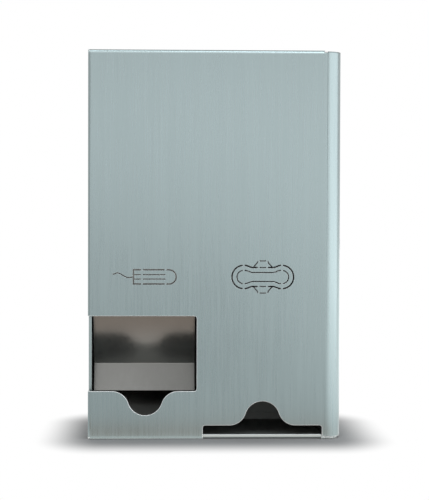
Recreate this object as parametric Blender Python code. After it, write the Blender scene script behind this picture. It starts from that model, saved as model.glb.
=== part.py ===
"""Wall dispenser for tampons and pads: a folded steel body with two bays behind a hinged, lockable front.

The front faces -Y, X runs to the right and Z up. The origin is under the middle of the box, on its base.
"""

import math

import bmesh
import bpy

MM = 0.001

# Overall sizes
DOOR_WIDTH = 253.9 * MM
HEIGHT = 390 * MM
DEPTH = 120 * MM
LOCK_PROUD = 2 * MM
LEFT = -(DOOR_WIDTH + LOCK_PROUD) / 2
RIGHT = LEFT + DOOR_WIDTH
FRONT = -DEPTH / 2
BACK = DEPTH / 2

# Clearances
GAP = 0.3 * MM
OVERRUN = 2 * MM

# Front door: one folded sheet with a wide rolled right edge
DOOR_SHEET = 1.5 * MM
FOLD_RADIUS = 3 * MM
ROLL_RADIUS = 16 * MM
FLANGE_DEPTH = 10 * MM
FLOOR_CLEARANCE = 0.5 * MM
ROLL_DROP = 1.1 * MM
TAB_INSET = 1.8 * MM
RELIEF_WIDTH = 3 * MM
RELIEF_DEPTH = 1 * MM
BACK_CLEARANCE = 1 * MM
BEND_STEPS = 5
ROUND_PROFILE = 0.5
ROLL_STEPS = 12

# Tampon window, open round the left corner
WINDOW_RIGHT = -19.05 * MM
WINDOW_BOTTOM = 48.4 * MM
WINDOW_HEIGHT = 75.2 * MM
CUT_CORNER = 2.5 * MM
CORNER_STEPS = 4

# Finger scoops: one under the window, one over the slot
SCOOP_RADIUS = 17.5 * MM
SHOULDER_RADIUS = 17.4 * MM
SCOOP_DEPTH = 24.2 * MM
SCOOP_STEPS = 9
WINDOW_SCOOP_X = -70.75 * MM

# Pad slot, open at the foot of the door
SLOT_LEFT = -12.85 * MM
SLOT_MARGIN = 19 * MM
SLOT_HEIGHT = 13.9 * MM

# Signs cut through the door
SIGN_HEIGHT = 163 * MM
LINE_WIDE = 1.5 * MM
LINE_FINE = 1.1 * MM
BRIDGE = 1.8 * MM
ARC_STEPS = 8

# Tampon sign
TAMPON_SIGN_LEFT = -82.45 * MM
TAMPON_SIGN_LENGTH = 32 * MM
TAMPON_SIGN_RADIUS = 7.1 * MM
TAMPON_GROOVE = 2.2 * MM
TAMPON_HEAD = 8.5 * MM
STRING_LENGTH = 20.8 * MM
STRING_RISE = 4 * MM
STRING_SHARES = ((1, 0.62), (0.88, 0.78), (0.76, 1), (0.56, 0.55), (0.4, 0.05), (0.22, -0.18), (0, 0))

# Pad sign
PAD_SIGN_LENGTH = 61.8 * MM
PAD_LOBE = 11.7 * MM
PAD_WAIST = 9.5 * MM
PAD_INSET = 5 * MM
PAD_WAIST_LENGTH = 19.5 * MM
WING_RISE = 6.6 * MM
WING_TOP = 10.6 * MM
WING_TOP_SHARE = 0.75
FOLD_DASH = 6.6 * MM
WAIST_STEPS = 5

# Body sheets
BODY_SHEET = 1.2 * MM
BODY_INSET = 0.3 * MM
BODY_SETBACK = 13.5 * MM
BODY_TOP_DROP = DOOR_SHEET + GAP
RETURN_WIDTH = 3 * MM
LIP = 12 * MM
DOOR_REACH = 1 * MM
TOP_NOTCH_WIDTH = 17 * MM

# Wall fixing holes
KEYHOLE_SPREAD = 180 * MM
KEYHOLE_TOP_DROP = 40 * MM
KEYHOLE_LOW = 80 * MM
KEYHOLE_HEAD = 4.5 * MM
KEYHOLE_NECK = 2.4 * MM
KEYHOLE_RISE = 9 * MM

# Tampon bay
DIVIDER_X = -16.95 * MM
DIVIDER_SETBACK = 4 * MM
GUIDE_TOP_DROP = 70 * MM
GUIDE_MARGIN = 4.2 * MM
GUIDE_RIGHT_CUT = 3.4 * MM
GUIDE_KNEE = 143.2 * MM
GUIDE_CREASE_DEPTH = 51 * MM
GUIDE_CREASE = 71.8 * MM
GUIDE_LIP_DEPTH = 41 * MM
GUIDE_LIP = 44.6 * MM
RAMP_SETBACK = 3.5 * MM
RAMP_FRONT = 20 * MM
RAMP_BACK = 38 * MM
RAMP_STOP = 12 * MM

# Pad bay
PAD_WALL_MARGIN = 0.7 * MM
PAD_FLANGE = 14 * MM
PAD_FLANGE_FOOT = 46 * MM
SHELF_SETBACK = 2.5 * MM
SHELF_TOP = 5 * MM
HEM_DEPTH = 8 * MM
BUFFER_RADIUS = 4 * MM
BUFFER_LOW = 90 * MM
BUFFER_TOP_DROP = 50 * MM

# Hinges
AXIS_INSET = 6 * MM
AXIS_DEPTH = 5.5 * MM
PIN_RADIUS = 1.6 * MM
PIN_HEAD_RADIUS = 3 * MM
PIN_HEAD = 1.5 * MM
PIN_RECESS = 0.2 * MM
LEAF = 2 * MM
LEAF_MARGIN = 3.2 * MM
LEAF_REACH = 20 * MM
ARM_WIDTH = 10 * MM
ARM_LENGTH = 24 * MM
WASHER_RADIUS = 3 * MM
SCREW_RADIUS = 1.5 * MM
SCREW_HEAD_RADIUS = 2.8 * MM
SCREW_HEAD = 1.2 * MM
SCREW_PITCH = 8 * MM
ROUND_STEPS = 20
SHARP_DEGREES = 35

# Cam lock in the right wall of the door
LOCK_HEIGHT = 195 * MM
LOCK_SETBACK = 40 * MM
LOCK_FLANGE_RADIUS = 11 * MM
BARREL_RADIUS = 9 * MM
BARREL_LENGTH = 10 * MM
PLUG_RADIUS = 6 * MM
PLUG_RECESS = 0.4 * MM
KEYWAY_WIDTH = 1.6 * MM
KEYWAY_HEIGHT = 7 * MM
KEYWAY_DEPTH = 5 * MM
NUT_RADIUS = 13 * MM
NUT_THICKNESS = 3 * MM
NUT_SIDES = 6
CAM_THICKNESS = 1.5 * MM
CAM_LENGTH = 20 * MM
CAM_HALF_WIDTH = 6 * MM
CAM_SCREW_HEAD = 1.4 * MM
CAM_SCREW_REACH = 4 * MM

# Keeper on the pad bay, hooked by the cam
KEEPER_SHEET = 1.2 * MM
KEEPER_STAND = 8.3 * MM
KEEPER_HEIGHT = 12 * MM
KEEPER_DROP = 12 * MM
KEEPER_LENGTH = 24 * MM
KEEPER_CLEARANCE = 1 * MM
KEEPER_SCREW_HEAD = 1 * MM
KEEPER_SCREW_HEAD_RADIUS = 2.5 * MM
KEEPER_SCREW_SHARES = (0.35, 0.75)

# Places that follow from the sizes above
DOOR_BACK = FRONT + DOOR_SHEET
ROLL_LIFT = FLOOR_CLEARANCE + DOOR_SHEET + GAP
WINDOW_TOP = WINDOW_BOTTOM + WINDOW_HEIGHT
SLOT_RIGHT = RIGHT - SLOT_MARGIN
SLOT_MIDDLE = (SLOT_LEFT + SLOT_RIGHT) / 2
BODY_LEFT = LEFT + BODY_INSET
BODY_RIGHT = RIGHT - DOOR_SHEET - DOOR_REACH
BODY_FRONT = FRONT + BODY_SETBACK
BODY_TOP = HEIGHT - BODY_TOP_DROP
BACK_FACE = BACK - BODY_SHEET
INNER_BACK = BACK_FACE - GAP
AXIS_X = LEFT + AXIS_INSET
AXIS_Y = FRONT + AXIS_DEPTH
KEYHOLE_HIGH = HEIGHT - KEYHOLE_TOP_DROP
GUIDE_TOP = HEIGHT - GUIDE_TOP_DROP
PAD_WALL_X = SLOT_RIGHT + PAD_WALL_MARGIN
PAD_WALL_OUT = PAD_WALL_X + BODY_SHEET
BAY_FRONT = FRONT + DIVIDER_SETBACK
BAY_FOOT = BODY_SHEET + GAP
LOCK_Y = FRONT + LOCK_SETBACK

STEEL = (0.33, 0.36, 0.36, 1)
DARK_STEEL = (0.2, 0.2, 0.19, 1)
ZINC = (0.55, 0.55, 0.52, 1)
BRASS = (0.6, 0.5, 0.3, 1)
NYLON = (0.75, 0.74, 0.7, 1)
RUBBER = (0.03, 0.03, 0.03, 1)
SHEET_ROUGHNESS = 0.35
GUIDE_ROUGHNESS = 0.2
SCREW_ROUGHNESS = 0.3
PIN_ROUGHNESS = 0.25
CHROME_ROUGHNESS = 0.2
NYLON_ROUGHNESS = 0.6
RUBBER_ROUGHNESS = 0.8


def clear_scene():
    for found in list(bpy.data.objects):
        bpy.data.objects.remove(found, do_unlink=True)


def material(name, colour, roughness, metallic):
    made = bpy.data.materials.new(name)
    made.use_nodes = True
    shader = made.node_tree.nodes["Principled BSDF"]
    shader.inputs["Base Color"].default_value = colour
    shader.inputs["Roughness"].default_value = roughness
    shader.inputs["Metallic"].default_value = metallic
    made.diffuse_color = colour
    return made


def finish(obj, colour, roughness=SHEET_ROUGHNESS, metallic=1):
    obj.data.materials.append(material(obj.name + "_finish", colour, roughness, metallic))
    return obj


def helper(obj):
    obj.hide_render = True
    obj.display_type = "WIRE"
    return obj


def point_on(axis, a, b, along):
    if axis == "X":
        return (along, a, b)
    if axis == "Y":
        return (a, along, b)
    return (a, b, along)


def prism(name, outlines, low, high, axis):
    """Closed prisms of these outlines along an axis: (y, z) for X, (x, z) for Y and (x, y) for Z."""
    mesh = bpy.data.meshes.new(name)
    shape = bmesh.new()
    for outline in outlines:
        lower = [shape.verts.new(point_on(axis, a, b, low)) for a, b in outline]
        upper = [shape.verts.new(point_on(axis, a, b, high)) for a, b in outline]
        shape.faces.new(lower)
        shape.faces.new(upper)
        for index in range(len(outline)):
            following = (index + 1) % len(outline)
            shape.faces.new((lower[index], lower[following], upper[following], upper[index]))
    bmesh.ops.recalc_face_normals(shape, faces=shape.faces)
    shape.to_mesh(mesh)
    shape.free()
    obj = bpy.data.objects.new(name, mesh)
    bpy.context.scene.collection.objects.link(obj)
    return obj


def rectangle(a_low, b_low, a_high, b_high):
    return [(a_low, b_low), (a_high, b_low), (a_high, b_high), (a_low, b_high)]


def box(name, low, high):
    return prism(name, [rectangle(low[0], low[1], high[0], high[1])], low[2], high[2], "Z")


def combine(target, other, operation, overlapping=False):
    change = target.modifiers.new(other.name, "BOOLEAN")
    change.operation = operation
    change.object = helper(other)
    change.solver = "EXACT"
    change.use_self = overlapping
    return target


def cut(target, *cutters):
    for cutter in cutters:
        combine(target, cutter, "DIFFERENCE")
    return target


def join(target, *others):
    for other in others:
        combine(target, other, "UNION")
    return target


def smooth(obj):
    obj.data.shade_smooth()
    obj.data.set_sharp_from_angle(angle=math.radians(SHARP_DEGREES))
    return obj


def arc(centre, radius, start, end, steps):
    """Points on a circle from one angle to another, in degrees."""
    points = []
    for step in range(steps + 1):
        angle = math.radians(start + (end - start) * step / steps)
        points.append((centre[0] + radius * math.cos(angle), centre[1] + radius * math.sin(angle)))
    return points


def circle(centre, radius, steps=ROUND_STEPS):
    return arc(centre, radius, 0, 360, steps)[:-1]


def rod(name, axis, centre, radius, low, high, steps=ROUND_STEPS):
    return smooth(prism(name, [circle(centre, radius, steps)], low, high, axis))


def band(points, width):
    """The outline of a line of this width along a path."""
    left_side = []
    right_side = []
    for index, (a, b) in enumerate(points):
        before = points[max(index - 1, 0)]
        after = points[min(index + 1, len(points) - 1)]
        length = math.hypot(after[0] - before[0], after[1] - before[1])
        across = (-(after[1] - before[1]) / length * width / 2, (after[0] - before[0]) / length * width / 2)
        left_side.append((a + across[0], b + across[1]))
        right_side.append((a - across[0], b - across[1]))
    return left_side + right_side[::-1]


def unit(start, end):
    length = math.hypot(end[0] - start[0], end[1] - start[1])
    return ((end[0] - start[0]) / length, (end[1] - start[1]) / length)


def folded(path, thickness):
    """The section of a folded sheet whose outer face follows a path, with the sheet on the path's left."""
    inner = []
    for index, (a, b) in enumerate(path):
        before = path[max(index - 1, 0)]
        after = path[min(index + 1, len(path) - 1)]
        first = unit(before, (a, b)) if index else unit((a, b), after)
        second = unit((a, b), after) if index < len(path) - 1 else first
        normal = (-(first[1] + second[1]), first[0] + second[0])
        size = math.hypot(*normal)
        normal = (normal[0] / size, normal[1] / size)
        reach = thickness / (normal[0] * -first[1] + normal[1] * first[0])
        inner.append((a + normal[0] * reach, b + normal[1] * reach))
    return list(path) + inner[::-1]


def rounded_block(name, low, high, radius):
    """A block whose front edges at the left, top and bottom are rounded."""
    block = box(name, low, high)
    shape = bmesh.new()
    shape.from_mesh(block.data)
    front = [v for v in shape.verts if math.isclose(v.co.y, low[1], abs_tol=GAP)]
    chosen = []
    for edge in shape.edges:
        if edge.verts[0] in front and edge.verts[1] in front:
            if min(v.co.x for v in edge.verts) < high[0] - GAP:
                chosen.append(edge)
    bmesh.ops.bevel(
        shape,
        geom=chosen,
        offset=radius,
        segments=BEND_STEPS,
        profile=ROUND_PROFILE,
        affect="EDGES",
        clamp_overlap=True,
    )
    bmesh.ops.recalc_face_normals(shape, faces=shape.faces)
    shape.to_mesh(block.data)
    shape.free()
    return block


def scoop(centre_x, edge, direction):
    """A finger scoop across a straight edge: a round bowl with soft shoulders, down for -1 or up for 1."""
    both = SCOOP_RADIUS + SHOULDER_RADIUS
    half_span = math.sqrt(both**2 - (both - SCOOP_DEPTH) ** 2)
    turn = math.degrees(math.atan2(both - SCOOP_DEPTH, half_span))
    shoulder = arc((-half_span, -SHOULDER_RADIUS), SHOULDER_RADIUS, 90, turn, SCOOP_STEPS)
    bowl = arc((0, SCOOP_RADIUS - SCOOP_DEPTH), SCOOP_RADIUS, 180 + turn, 360 - turn, 2 * SCOOP_STEPS)
    right_shoulder = [(-a, b) for a, b in shoulder[::-1]]
    outline = shoulder + bowl[1:-1] + right_shoulder
    outline = [(-half_span, OVERRUN)] + outline + [(half_span, OVERRUN)]
    return [(centre_x + a, edge - b * direction) for a, b in outline]


def window_cutter():
    corner = CUT_CORNER
    right = WINDOW_RIGHT - corner
    outline = [(LEFT - OVERRUN, WINDOW_BOTTOM)]
    outline += arc((right, WINDOW_BOTTOM + corner), corner, -90, 0, CORNER_STEPS)
    outline += arc((right, WINDOW_TOP - corner), corner, 0, 90, CORNER_STEPS)
    outline += [(LEFT - OVERRUN, WINDOW_TOP)]
    return prism("window_cutter", [outline], FRONT - OVERRUN, FRONT + FLANGE_DEPTH + OVERRUN, "Y")


def slot_cutter():
    corner = CUT_CORNER
    foot = -OVERRUN
    outline = [(SLOT_LEFT, foot), (SLOT_RIGHT, foot)]
    outline += arc((SLOT_RIGHT - corner, SLOT_HEIGHT - corner), corner, 0, 90, CORNER_STEPS)
    outline += arc((SLOT_LEFT + corner, SLOT_HEIGHT - corner), corner, 90, 180, CORNER_STEPS)
    return prism("slot_cutter", [outline], FRONT - OVERRUN, FRONT + FLANGE_DEPTH + OVERRUN, "Y")


def scoop_cutter(name, centre_x, edge, direction):
    return prism(name, [scoop(centre_x, edge, direction)], FRONT - OVERRUN, FRONT + FLANGE_DEPTH / 2, "Y")


def tampon_sign():
    """Lines of the tampon sign: a grooved cylinder with a round head and a loose string."""
    left = TAMPON_SIGN_LEFT
    stop = left + TAMPON_HEAD - BRIDGE / 2
    start = left + TAMPON_HEAD + BRIDGE / 2
    right = left + TAMPON_SIGN_LENGTH
    lines = []
    for offset, width in (
        (TAMPON_SIGN_RADIUS, LINE_WIDE),
        (TAMPON_GROOVE, LINE_FINE),
        (-TAMPON_GROOVE, LINE_FINE),
        (-TAMPON_SIGN_RADIUS, LINE_WIDE),
    ):
        height = SIGN_HEIGHT + offset
        end = right if width == LINE_FINE else right - BRIDGE / 2
        lines.append(band([(left, height), (stop, height)], width))
        lines.append(band([(start, height), (end, height)], width))
    reach = TAMPON_SIGN_RADIUS + LINE_WIDE / 2
    lines.append(band([(left, SIGN_HEIGHT - reach), (left, SIGN_HEIGHT + reach)], LINE_WIDE))
    tip = (right + BRIDGE * 2, SIGN_HEIGHT)
    head = [(right + BRIDGE / 2, SIGN_HEIGHT - TAMPON_SIGN_RADIUS)]
    head += arc(tip, TAMPON_SIGN_RADIUS, -90, 90, ARC_STEPS)
    head += [(right + BRIDGE / 2, SIGN_HEIGHT + TAMPON_SIGN_RADIUS)]
    lines.append(band(head, LINE_WIDE))
    string = [(left - a * STRING_LENGTH, SIGN_HEIGHT + b * STRING_RISE) for a, b in STRING_SHARES]
    lines.append(band(string, LINE_FINE))
    return lines


def pad_outline(lobe, waist, half_length, bridge_x):
    """The right half of a pad: its upper side out to the bridge, then its end from the bridge round."""
    flat = PAD_WAIST_LENGTH / 2
    start = bridge_x - BRIDGE / 2
    top = []
    for step in range(WAIST_STEPS + 1):
        share = step / WAIST_STEPS
        swell = (1 - math.cos(math.pi * share)) / 2
        top.append((flat + (start - flat) * share, waist + (lobe - waist) * swell))
    centre = half_length - lobe
    end = [(bridge_x + BRIDGE / 2, lobe)] if centre > bridge_x + BRIDGE / 2 else []
    first = 90 if end else math.degrees(math.acos((bridge_x + BRIDGE / 2 - centre) / lobe))
    end += arc((centre, 0), lobe, first, -first, 2 * ARC_STEPS)
    end += [(bridge_x + BRIDGE / 2, -lobe)] if len(end) > 2 * ARC_STEPS + 1 else []
    return top, end


def pad_sign():
    """Lines of the pad sign: two dog-bone outlines, and a wing with a fold line above and below."""
    bridge_x = PAD_SIGN_LENGTH / 2 - PAD_LOBE
    middle = SLOT_MIDDLE
    half_dash = FOLD_DASH / 2
    lines = []
    outer_top, outer_end = pad_outline(PAD_LOBE, PAD_WAIST, PAD_SIGN_LENGTH / 2, bridge_x)
    inner_top, inner_end = pad_outline(
        PAD_LOBE - PAD_INSET, PAD_WAIST - PAD_INSET, PAD_SIGN_LENGTH / 2 - PAD_INSET, bridge_x
    )
    wing = [
        (half_dash + BRIDGE, PAD_WAIST + WING_RISE),
        (WING_TOP / 2, PAD_WAIST + WING_RISE * WING_TOP_SHARE),
        (PAD_WAIST_LENGTH / 2, PAD_WAIST),
    ]
    for side in (-1, 1):
        for path, width in ((outer_end, LINE_WIDE), (inner_end, LINE_FINE)):
            lines.append(band([(middle + side * a, SIGN_HEIGHT + b) for a, b in path], width))
        for up in (-1, 1):
            outer = [(half_dash + BRIDGE, PAD_WAIST)] + outer_top
            inner = [(0, PAD_WAIST - PAD_INSET)] + inner_top
            for path, width in ((outer, LINE_WIDE), (inner, LINE_FINE), (wing, LINE_FINE)):
                placed = [(middle + side * a, SIGN_HEIGHT + up * b) for a, b in path]
                lines.append(band(placed, width))
    for up in (-1, 1):
        for height in (PAD_WAIST, PAD_WAIST + WING_RISE):
            level = SIGN_HEIGHT + up * height
            lines.append(band([(middle - half_dash, level), (middle + half_dash, level)], LINE_FINE))
    return lines


def roll_outline(inset):
    """The plan of the rolled right edge and the right wall, from the flat front to the back."""
    centre = (RIGHT - ROLL_RADIUS, FRONT + ROLL_RADIUS)
    return arc(centre, ROLL_RADIUS - inset, -90, 0, ROLL_STEPS)


def make_door():
    join_x = RIGHT - ROLL_RADIUS + RELIEF_WIDTH / 2
    low = (LEFT, FRONT, FLOOR_CLEARANCE)
    high = (RIGHT - ROLL_RADIUS, FRONT + FLANGE_DEPTH, HEIGHT)
    door = rounded_block("front_door", low, high, FOLD_RADIUS)
    hollow = rounded_block(
        "door_hollow_cutter",
        (LEFT + DOOR_SHEET, DOOR_BACK, FLOOR_CLEARANCE + DOOR_SHEET),
        (join_x + OVERRUN, FRONT + FLANGE_DEPTH + OVERRUN, HEIGHT - DOOR_SHEET),
        FOLD_RADIUS - DOOR_SHEET,
    )
    flat_x = RIGHT - ROLL_RADIUS - RELIEF_WIDTH / 2 + GAP
    wall_end = BACK - BACK_CLEARANCE
    outline = [(flat_x, FRONT)] + roll_outline(0) + [(RIGHT, wall_end), (RIGHT - DOOR_SHEET, wall_end)]
    outline += roll_outline(DOOR_SHEET)[::-1] + [(flat_x, DOOR_BACK)]
    roll = prism("door_roll", [outline], ROLL_LIFT, HEIGHT - ROLL_DROP, "Z")
    tab_back = FRONT + FLANGE_DEPTH
    tab = [(SLOT_RIGHT + GAP, FRONT + FOLD_RADIUS), (join_x - GAP, FRONT + FOLD_RADIUS)]
    tab += [p for p in roll_outline(TAB_INSET) if p[0] > join_x and FRONT + FOLD_RADIUS < p[1] < tab_back]
    tab_reach = math.sqrt((ROLL_RADIUS - TAB_INSET) ** 2 - (ROLL_RADIUS - FLANGE_DEPTH) ** 2)
    tab += [(RIGHT - ROLL_RADIUS + tab_reach, tab_back), (SLOT_RIGHT + GAP, tab_back)]
    foot = prism("door_foot_tab", [tab], FLOOR_CLEARANCE, FLOOR_CLEARANCE + DOOR_SHEET, "Z")
    relief_low = RIGHT - ROLL_RADIUS - RELIEF_WIDTH / 2
    top_relief = box(
        "top_relief_cutter",
        (relief_low, FRONT - OVERRUN, HEIGHT - RELIEF_DEPTH - ROLL_DROP),
        (relief_low + RELIEF_WIDTH, FRONT + FLANGE_DEPTH + OVERRUN, HEIGHT + OVERRUN),
    )
    cut(door, hollow)
    combine(door, roll, "UNION")
    combine(door, foot, "UNION")
    cut(door, top_relief, window_cutter(), slot_cutter())
    cut(door, scoop_cutter("window_scoop_cutter", WINDOW_SCOOP_X, WINDOW_BOTTOM, -1))
    cut(door, scoop_cutter("slot_scoop_cutter", SLOT_MIDDLE, SLOT_HEIGHT, 1))
    signs = prism("sign_cutter", tampon_sign() + pad_sign(), FRONT - OVERRUN, DOOR_BACK + OVERRUN, "Y")
    combine(door, signs, "DIFFERENCE", overlapping=True)
    hinge_place = (AXIS_X, AXIS_Y)
    lock_place = (LOCK_Y, LOCK_HEIGHT)
    hole = PIN_RADIUS + GAP
    lock_hole = BARREL_RADIUS + GAP
    cut(door, rod("hinge_hole_cutter", "Z", hinge_place, hole, -OVERRUN, HEIGHT + OVERRUN))
    cut(door, rod("lock_hole_cutter", "X", lock_place, lock_hole, RIGHT - 2 * DOOR_SHEET, RIGHT + OVERRUN))
    smooth(door)
    return finish(door, STEEL)


def make_back_panel():
    panel = prism("back_panel", [rectangle(BODY_LEFT, 0, BODY_RIGHT, BODY_TOP)], BACK_FACE, BACK, "Y")
    holes = []
    for side in (-1, 1):
        for level in (KEYHOLE_HIGH, KEYHOLE_LOW):
            x = side * KEYHOLE_SPREAD / 2
            turn = math.degrees(math.asin(KEYHOLE_NECK / KEYHOLE_HEAD))
            hole = arc((x, level), KEYHOLE_HEAD, 90 + turn, 450 - turn, ROUND_STEPS)
            hole += arc((x, level + KEYHOLE_RISE), KEYHOLE_NECK, 0, 180, ARC_STEPS)
            holes.append(hole)
    cut(panel, prism("keyhole_cutter", holes, BACK_FACE - OVERRUN, BACK + OVERRUN, "Y"))
    return finish(panel, STEEL)


def make_left_panel():
    """The left wall, with a narrow return at the front and a lip along the back."""
    front = BODY_FRONT
    outer = [(BODY_LEFT + LIP, INNER_BACK), (BODY_LEFT, INNER_BACK)]
    outer += [(BODY_LEFT, front), (BODY_LEFT + RETURN_WIDTH, front)]
    top = BODY_TOP - BODY_SHEET - GAP
    return finish(prism("left_side_panel", [folded(outer, BODY_SHEET)], BAY_FOOT, top, "Z"), STEEL)


def make_top_panel():
    front = DOOR_BACK + DOOR_REACH
    radius = ROLL_RADIUS - DOOR_SHEET - DOOR_REACH
    notch = BODY_LEFT + TOP_NOTCH_WIDTH
    outline = [(BODY_LEFT, BODY_FRONT), (notch, BODY_FRONT), (notch, front)]
    outline += arc((BODY_RIGHT - radius, front + radius), radius, -90, 0, ARC_STEPS)
    outline += [(BODY_RIGHT, INNER_BACK), (BODY_LEFT, INNER_BACK)]
    low = BODY_TOP - BODY_SHEET
    panel = prism("top_panel", [outline], low, BODY_TOP, "Z")
    left = BODY_LEFT + LIP + GAP
    right = BODY_RIGHT - BODY_SHEET - GAP
    root = BODY_TOP - BODY_SHEET / 2
    rear = box("top_rear_lip", (left, INNER_BACK - BODY_SHEET, BODY_TOP - LIP), (right, INNER_BACK, root))
    side = box(
        "top_side_lip",
        (BODY_RIGHT - BODY_SHEET, front + radius, BODY_TOP - LIP),
        (BODY_RIGHT, INNER_BACK - BODY_SHEET - GAP, root),
    )
    join(panel, rear, side)
    cut(panel, *screw_hole_cutters("top", BODY_TOP - LIP, HEIGHT))
    return finish(panel, STEEL)


def make_bottom_panel():
    panel = box("bottom_panel", (BODY_LEFT, BODY_FRONT, 0), (BODY_RIGHT, INNER_BACK, BODY_SHEET))
    left = BODY_LEFT + LIP + GAP
    right = BODY_RIGHT - BODY_SHEET - GAP
    rear = box("bottom_rear_lip", (left, INNER_BACK - BODY_SHEET, BODY_SHEET / 2), (right, INNER_BACK, LIP))
    side = box(
        "bottom_side_lip",
        (BODY_RIGHT - BODY_SHEET, BODY_FRONT, BODY_SHEET / 2),
        (BODY_RIGHT, INNER_BACK - BODY_SHEET - GAP, LIP),
    )
    join(panel, rear, side)
    cut(panel, *screw_hole_cutters("bottom", -OVERRUN, LIP))
    return finish(panel, STEEL)


def bay_wall(name, x, direction):
    """An upright wall of a bay, with a lip at the back and a front flange above the pad slot."""
    near = x if direction > 0 else x + BODY_SHEET
    low = BAY_FOOT
    top = BODY_TOP - LIP - GAP
    rear = INNER_BACK
    wall_rear = rear - BODY_SHEET - GAP
    far = near + direction * BODY_SHEET
    wall = prism(name, [rectangle(near, BAY_FRONT, far, wall_rear)], low, top, "Z")
    flange = rectangle(near, BAY_FRONT, near + direction * PAD_FLANGE, BAY_FRONT + BODY_SHEET)
    join(wall, prism(name + "_front_flange", [flange], PAD_FLANGE_FOOT, top, "Z"))
    toe_left = min(near, near + direction * LIP) - OVERRUN
    toe_right = max(near, near + direction * LIP) + OVERRUN
    toe_top = FLOOR_CLEARANCE + DOOR_SHEET + DOOR_REACH
    cut(wall, box(name + "_toe_cutter", (toe_left, FRONT, 0), (toe_right, BODY_FRONT, toe_top)))
    lip_low = LIP + GAP
    lip = [
        (near, wall_rear - BODY_SHEET / 2),
        (near, rear),
        (near + direction * LIP, rear),
        (near + direction * LIP, rear - BODY_SHEET),
        (far, rear - BODY_SHEET),
        (far, wall_rear - BODY_SHEET / 2),
    ]
    join(wall, prism(name + "_rear_lip", [lip], lip_low, top, "Z"))
    return wall


def make_tampon_bay():
    finish(bay_wall("bay_divider", DIVIDER_X, 1), STEEL)
    left = LEFT + GUIDE_MARGIN
    right = DIVIDER_X - GAP
    path = [
        (BODY_FRONT, GUIDE_TOP),
        (BODY_FRONT, GUIDE_KNEE),
        (FRONT + GUIDE_CREASE_DEPTH, GUIDE_CREASE),
        (FRONT + GUIDE_LIP_DEPTH, GUIDE_LIP),
    ]
    guide = prism("tampon_guide_plate", [folded(path, BODY_SHEET)], left, right, "X")
    trim = box(
        "guide_side_cutter",
        (right - GUIDE_RIGHT_CUT + GAP, FRONT, 0),
        (right + OVERRUN, BACK, WINDOW_TOP + OVERRUN),
    )
    finish(cut(guide, trim), DARK_STEEL, GUIDE_ROUGHNESS)
    front = FRONT + RAMP_SETBACK
    rear = INNER_BACK - BODY_SHEET - GAP
    path = [(front, RAMP_FRONT), (rear, RAMP_BACK), (rear, RAMP_BACK + RAMP_STOP)]
    ramp_left = BODY_LEFT + BODY_SHEET + GAP
    ramp = prism("tampon_ramp", [folded(path, BODY_SHEET)], ramp_left, right, "X")
    corner = box(
        "ramp_corner_cutter",
        (LEFT, FRONT, 0),
        (BODY_LEFT + TOP_NOTCH_WIDTH, BODY_FRONT + BODY_SHEET + GAP, RAMP_BACK),
    )
    finish(cut(ramp, corner), DARK_STEEL)


def make_pad_bay():
    wall = bay_wall("pad_bay_right_wall", PAD_WALL_X, -1)
    for index, share in enumerate(KEEPER_SCREW_SHARES):
        y, z = keeper_screw_place(share)
        name = f"pad_wall_hole_cutter_{index + 1}"
        radius = SCREW_RADIUS + GAP
        cut(wall, rod(name, "X", (y, z), radius, PAD_WALL_X - OVERRUN, PAD_WALL_OUT + OVERRUN))
    finish(wall, STEEL)
    left = DIVIDER_X + BODY_SHEET + GAP
    right = PAD_WALL_X - GAP
    front = FRONT + SHELF_SETBACK
    rear = INNER_BACK - BODY_SHEET - GAP
    foot = SHELF_TOP - 2 * BODY_SHEET - GAP
    middle = (SHELF_TOP + foot) / 2
    radius = (SHELF_TOP - foot) / 2
    section = arc((front + radius, middle), radius, 90, 270, 2 * CORNER_STEPS)
    section += [(front + HEM_DEPTH, foot), (front + HEM_DEPTH, foot + BODY_SHEET)]
    section += [(front + radius, foot + BODY_SHEET), (front + radius, SHELF_TOP - BODY_SHEET)]
    section += [(rear, SHELF_TOP - BODY_SHEET), (rear, SHELF_TOP)]
    shelf = prism("pad_shelf", [section], left, right, "X")
    for index, x in enumerate((left, right - BODY_SHEET)):
        lip = box(
            f"shelf_lip_{index + 1}",
            (x, BODY_FRONT, BAY_FOOT),
            (x + BODY_SHEET, rear, SHELF_TOP - BODY_SHEET / 2),
        )
        join(shelf, lip)
    finish(smooth(shelf), STEEL)
    for index, level in enumerate((BUFFER_LOW, HEIGHT - BUFFER_TOP_DROP)):
        x = PAD_WALL_OUT - PAD_FLANGE / 2
        name = f"door_buffer_{index + 1}"
        buffer = rod(name, "Y", (x, level), BUFFER_RADIUS, DOOR_BACK + GAP, BAY_FRONT - GAP)
        finish(buffer, RUBBER, RUBBER_ROUGHNESS, 0)


def screw_places():
    """Where the two screws of a hinge bracket stand, in plan."""
    x = AXIS_X + LEAF_REACH - ARM_WIDTH / 2
    first = BODY_FRONT + SCREW_HEAD_RADIUS + GAP
    return [(x, first), (x, first + SCREW_PITCH)]


def screw_hole_cutters(name, low, high):
    holes = []
    for index, place in enumerate(screw_places()):
        cutter = f"{name}_screw_hole_cutter_{index + 1}"
        holes.append(rod(cutter, "Z", place, SCREW_RADIUS + GAP, low, high))
    return holes


def make_screw(name, axis, place, tip, seat, head, head_radius):
    """A pan-head screw: its tip, the seat under its head, and the head's outer face, along an axis."""
    shank = rod(name, axis, place, SCREW_RADIUS, min(tip, seat), max(tip, seat))
    top = rod(name + "_head", axis, place, head_radius, min(seat, head), max(seat, head))
    return finish(join(shank, top), ZINC, SCREW_ROUGHNESS)


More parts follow.
